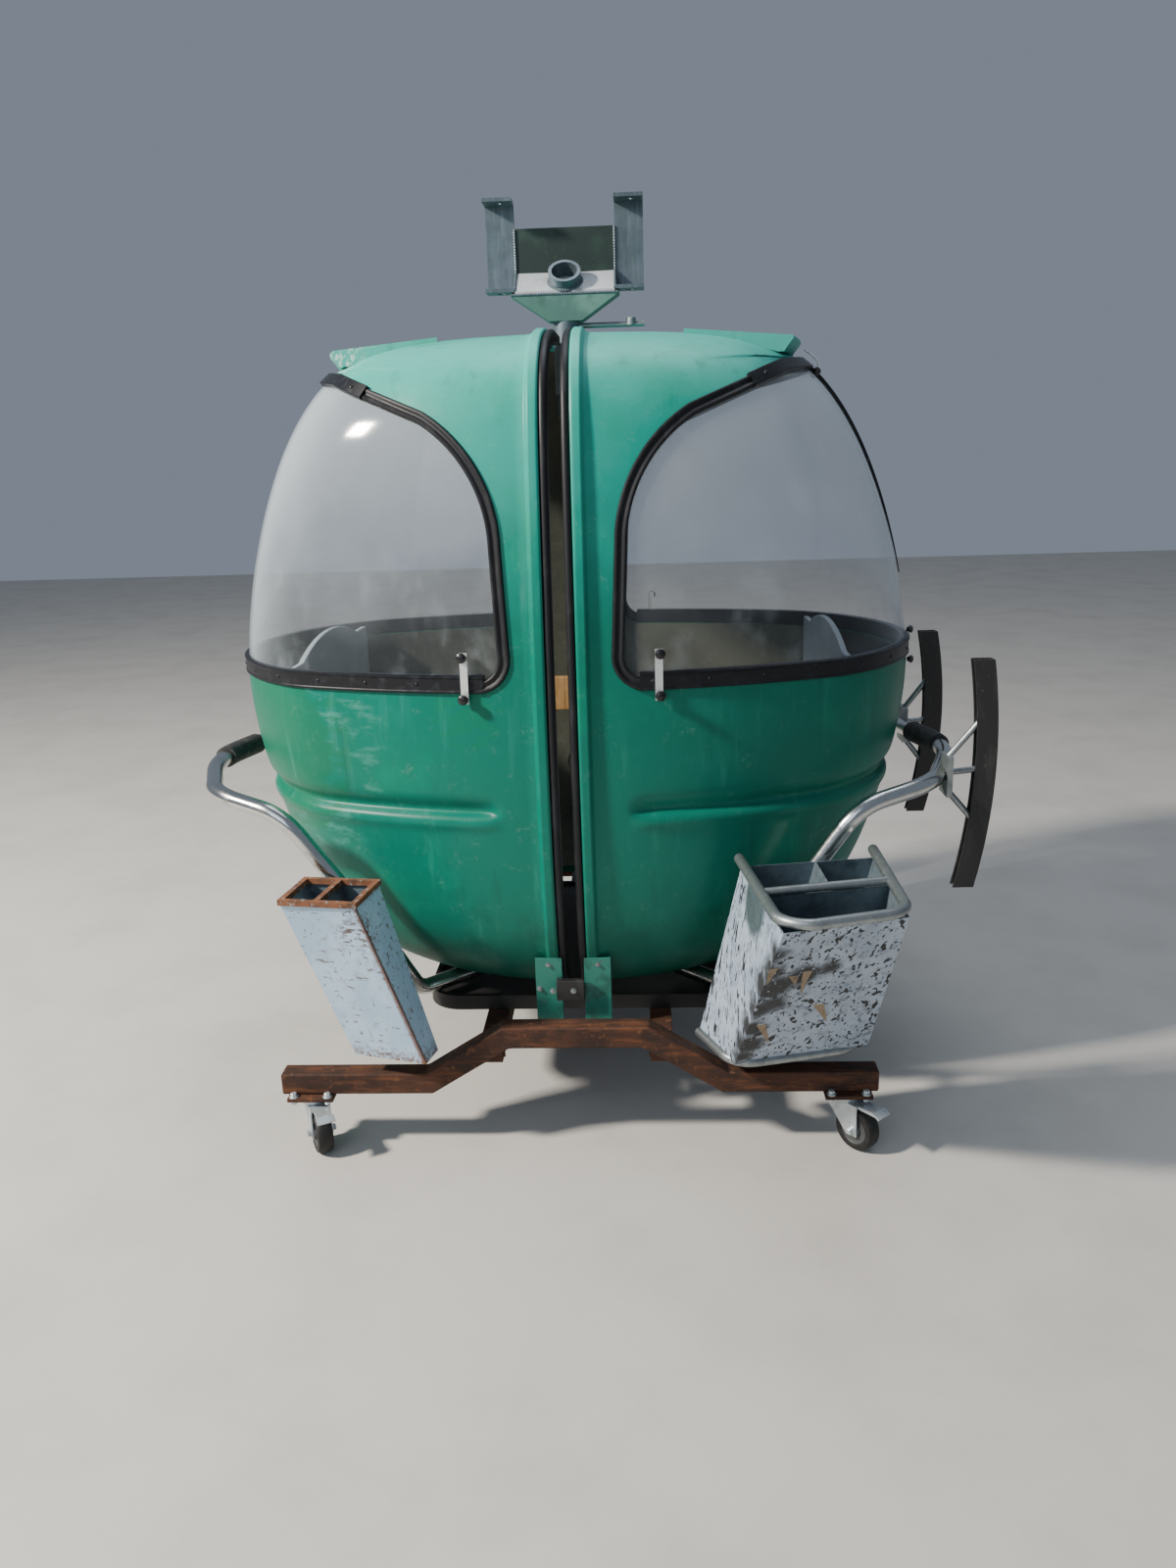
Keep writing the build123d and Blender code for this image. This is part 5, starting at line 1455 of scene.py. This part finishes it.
# The camera: yaw to the left, pitch down and roll in degrees, its place in drawing millimetres, its
# sensor's width in millimetres, and its focal length in pixels of a picture that is so many pixels high.
CAMERA_TURNS, CAMERA_PLACE = (2.83, 15.62, 1.77), (161.0, -2907.0, 1504.0)
SENSOR_WIDTH, FOCAL_PIXELS, PICTURE_HEIGHT = 36.0, 1202, 1600


class CABIN_OT_stage(CabinOperator, bpy.types.Operator):
    """Sets the pale floor, the soft studio lights and the camera"""
    bl_idname = "cabin.stage"
    bl_label = "Stage"

    def execute(self, context):
        self.floor()
        self.world(context.scene)
        self.lamps()
        self.camera(context.scene)
        return {"FINISHED"}

    def floor(self):
        """Studio floor: pale matt paint with the faintest unevenness."""
        mesh = bpy.data.meshes.new("floor")
        half = 14.0
        mesh.from_pydata([(-half, -half, 0), (half, -half, 0), (half, half, 0), (-half, half, 0)], [],
                         [(0, 1, 2, 3)])
        # Matt floor paint: no highlight, only slow clouds of a slightly darker tone.
        mesh.materials.append(finish("pale matt floor", "#c2bfb9", 0.85, layers=(
            layer(even(400, 0.4, 0.7), colour="#b9b6b0"),)))
        floor = bpy.data.objects.new("floor", mesh)
        bpy.context.scene.collection.objects.link(floor)

    def world(self, scene):
        """Even pale blue light from all round."""
        world = bpy.data.worlds.new("studio")
        world.use_nodes = True
        world.node_tree.nodes["Background"].inputs[0].default_value = linear("#c4d2e6")
        world.node_tree.nodes["Background"].inputs[1].default_value = 0.36
        scene.world = world

    def lamps(self):
        """A small warm key light high on the left, a wide fill from the front and a wide light from above."""
        for name, place, target, size, power, tint in LAMPS:
            light = bpy.data.lights.new(name, "AREA")
            light.energy, light.size, light.color = power, size, linear(tint)[:3]
            lamp = bpy.data.objects.new(name, light)
            lamp.location = place
            lamp.rotation_euler = (Vector(target) - Vector(place)).to_track_quat("-Z", "Y").to_euler()
            bpy.context.scene.collection.objects.link(lamp)

    def camera(self, scene):
        """The camera that was fitted to the photograph: yaw, pitch and roll turn its axes in that order."""
        yaw, pitch, roll = np.radians(CAMERA_TURNS)
        forward = np.array([-np.sin(yaw) * np.cos(pitch), np.cos(yaw) * np.cos(pitch), -np.sin(pitch)])
        right = np.array([np.cos(yaw), np.sin(yaw), 0])
        up = np.cross(right, forward)
        turned = np.eye(4)
        turned[:3, 0] = np.cos(roll) * right - np.sin(roll) * up
        turned[:3, 1] = np.sin(roll) * right + np.cos(roll) * up
        turned[:3, 2] = -forward
        turned[:3, 3] = placed(CAMERA_PLACE)
        camera = bpy.data.objects.new("camera", bpy.data.cameras.new("camera"))
        camera.data.sensor_fit = "AUTO"
        camera.data.sensor_width = SENSOR_WIDTH
        camera.data.lens = SENSOR_WIDTH * FOCAL_PIXELS / PICTURE_HEIGHT
        camera.matrix_world = Matrix(turned.tolist())
        scene.collection.objects.link(camera)
        scene.camera = camera


STEPS = (CABIN_OT_stage, CABIN_OT_finishes, CABIN_OT_shells, CABIN_OT_windows, CABIN_OT_sills, CABIN_OT_seals,
         CABIN_OT_steelwork, CABIN_OT_castors, CABIN_OT_fasteners, CABIN_OT_trim)


class CABIN_PT_panel(bpy.types.Panel):
    """Sidebar panel with the cabin's sizes, colours and steps"""
    bl_idname = "CABIN_PT_panel"
    bl_label = "Cable car cabin"
    bl_space_type = "VIEW_3D"
    bl_region_type = "UI"
    bl_category = "Cabin"

    def draw(self, context):
        for group in (context.scene.cabin_sizes, context.scene.cabin_colours):
            box = self.layout.box()
            for name in group.__annotations__:
                box.prop(group, name)
        for step in STEPS:
            self.layout.operator(step.bl_idname)


CLASSES = (CabinSizes, CabinColours, *STEPS, CABIN_PT_panel)


def register():
    for cls in CLASSES:
        bpy.utils.register_class(cls)
    bpy.types.Scene.cabin_sizes = bpy.props.PointerProperty(type=CabinSizes)
    bpy.types.Scene.cabin_colours = bpy.props.PointerProperty(type=CabinColours)


def unregister():
    del bpy.types.Scene.cabin_colours
    del bpy.types.Scene.cabin_sizes
    for cls in reversed(CLASSES):
        bpy.utils.unregister_class(cls)


def main():
    """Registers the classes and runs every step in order."""
    register()
    for step in STEPS:
        area, name = step.bl_idname.split(".")
        if getattr(getattr(bpy.ops, area), name)() != {"FINISHED"}:
            raise RuntimeError(f"{step.bl_idname} didn't finish")


if __name__ == "__main__":
    main()
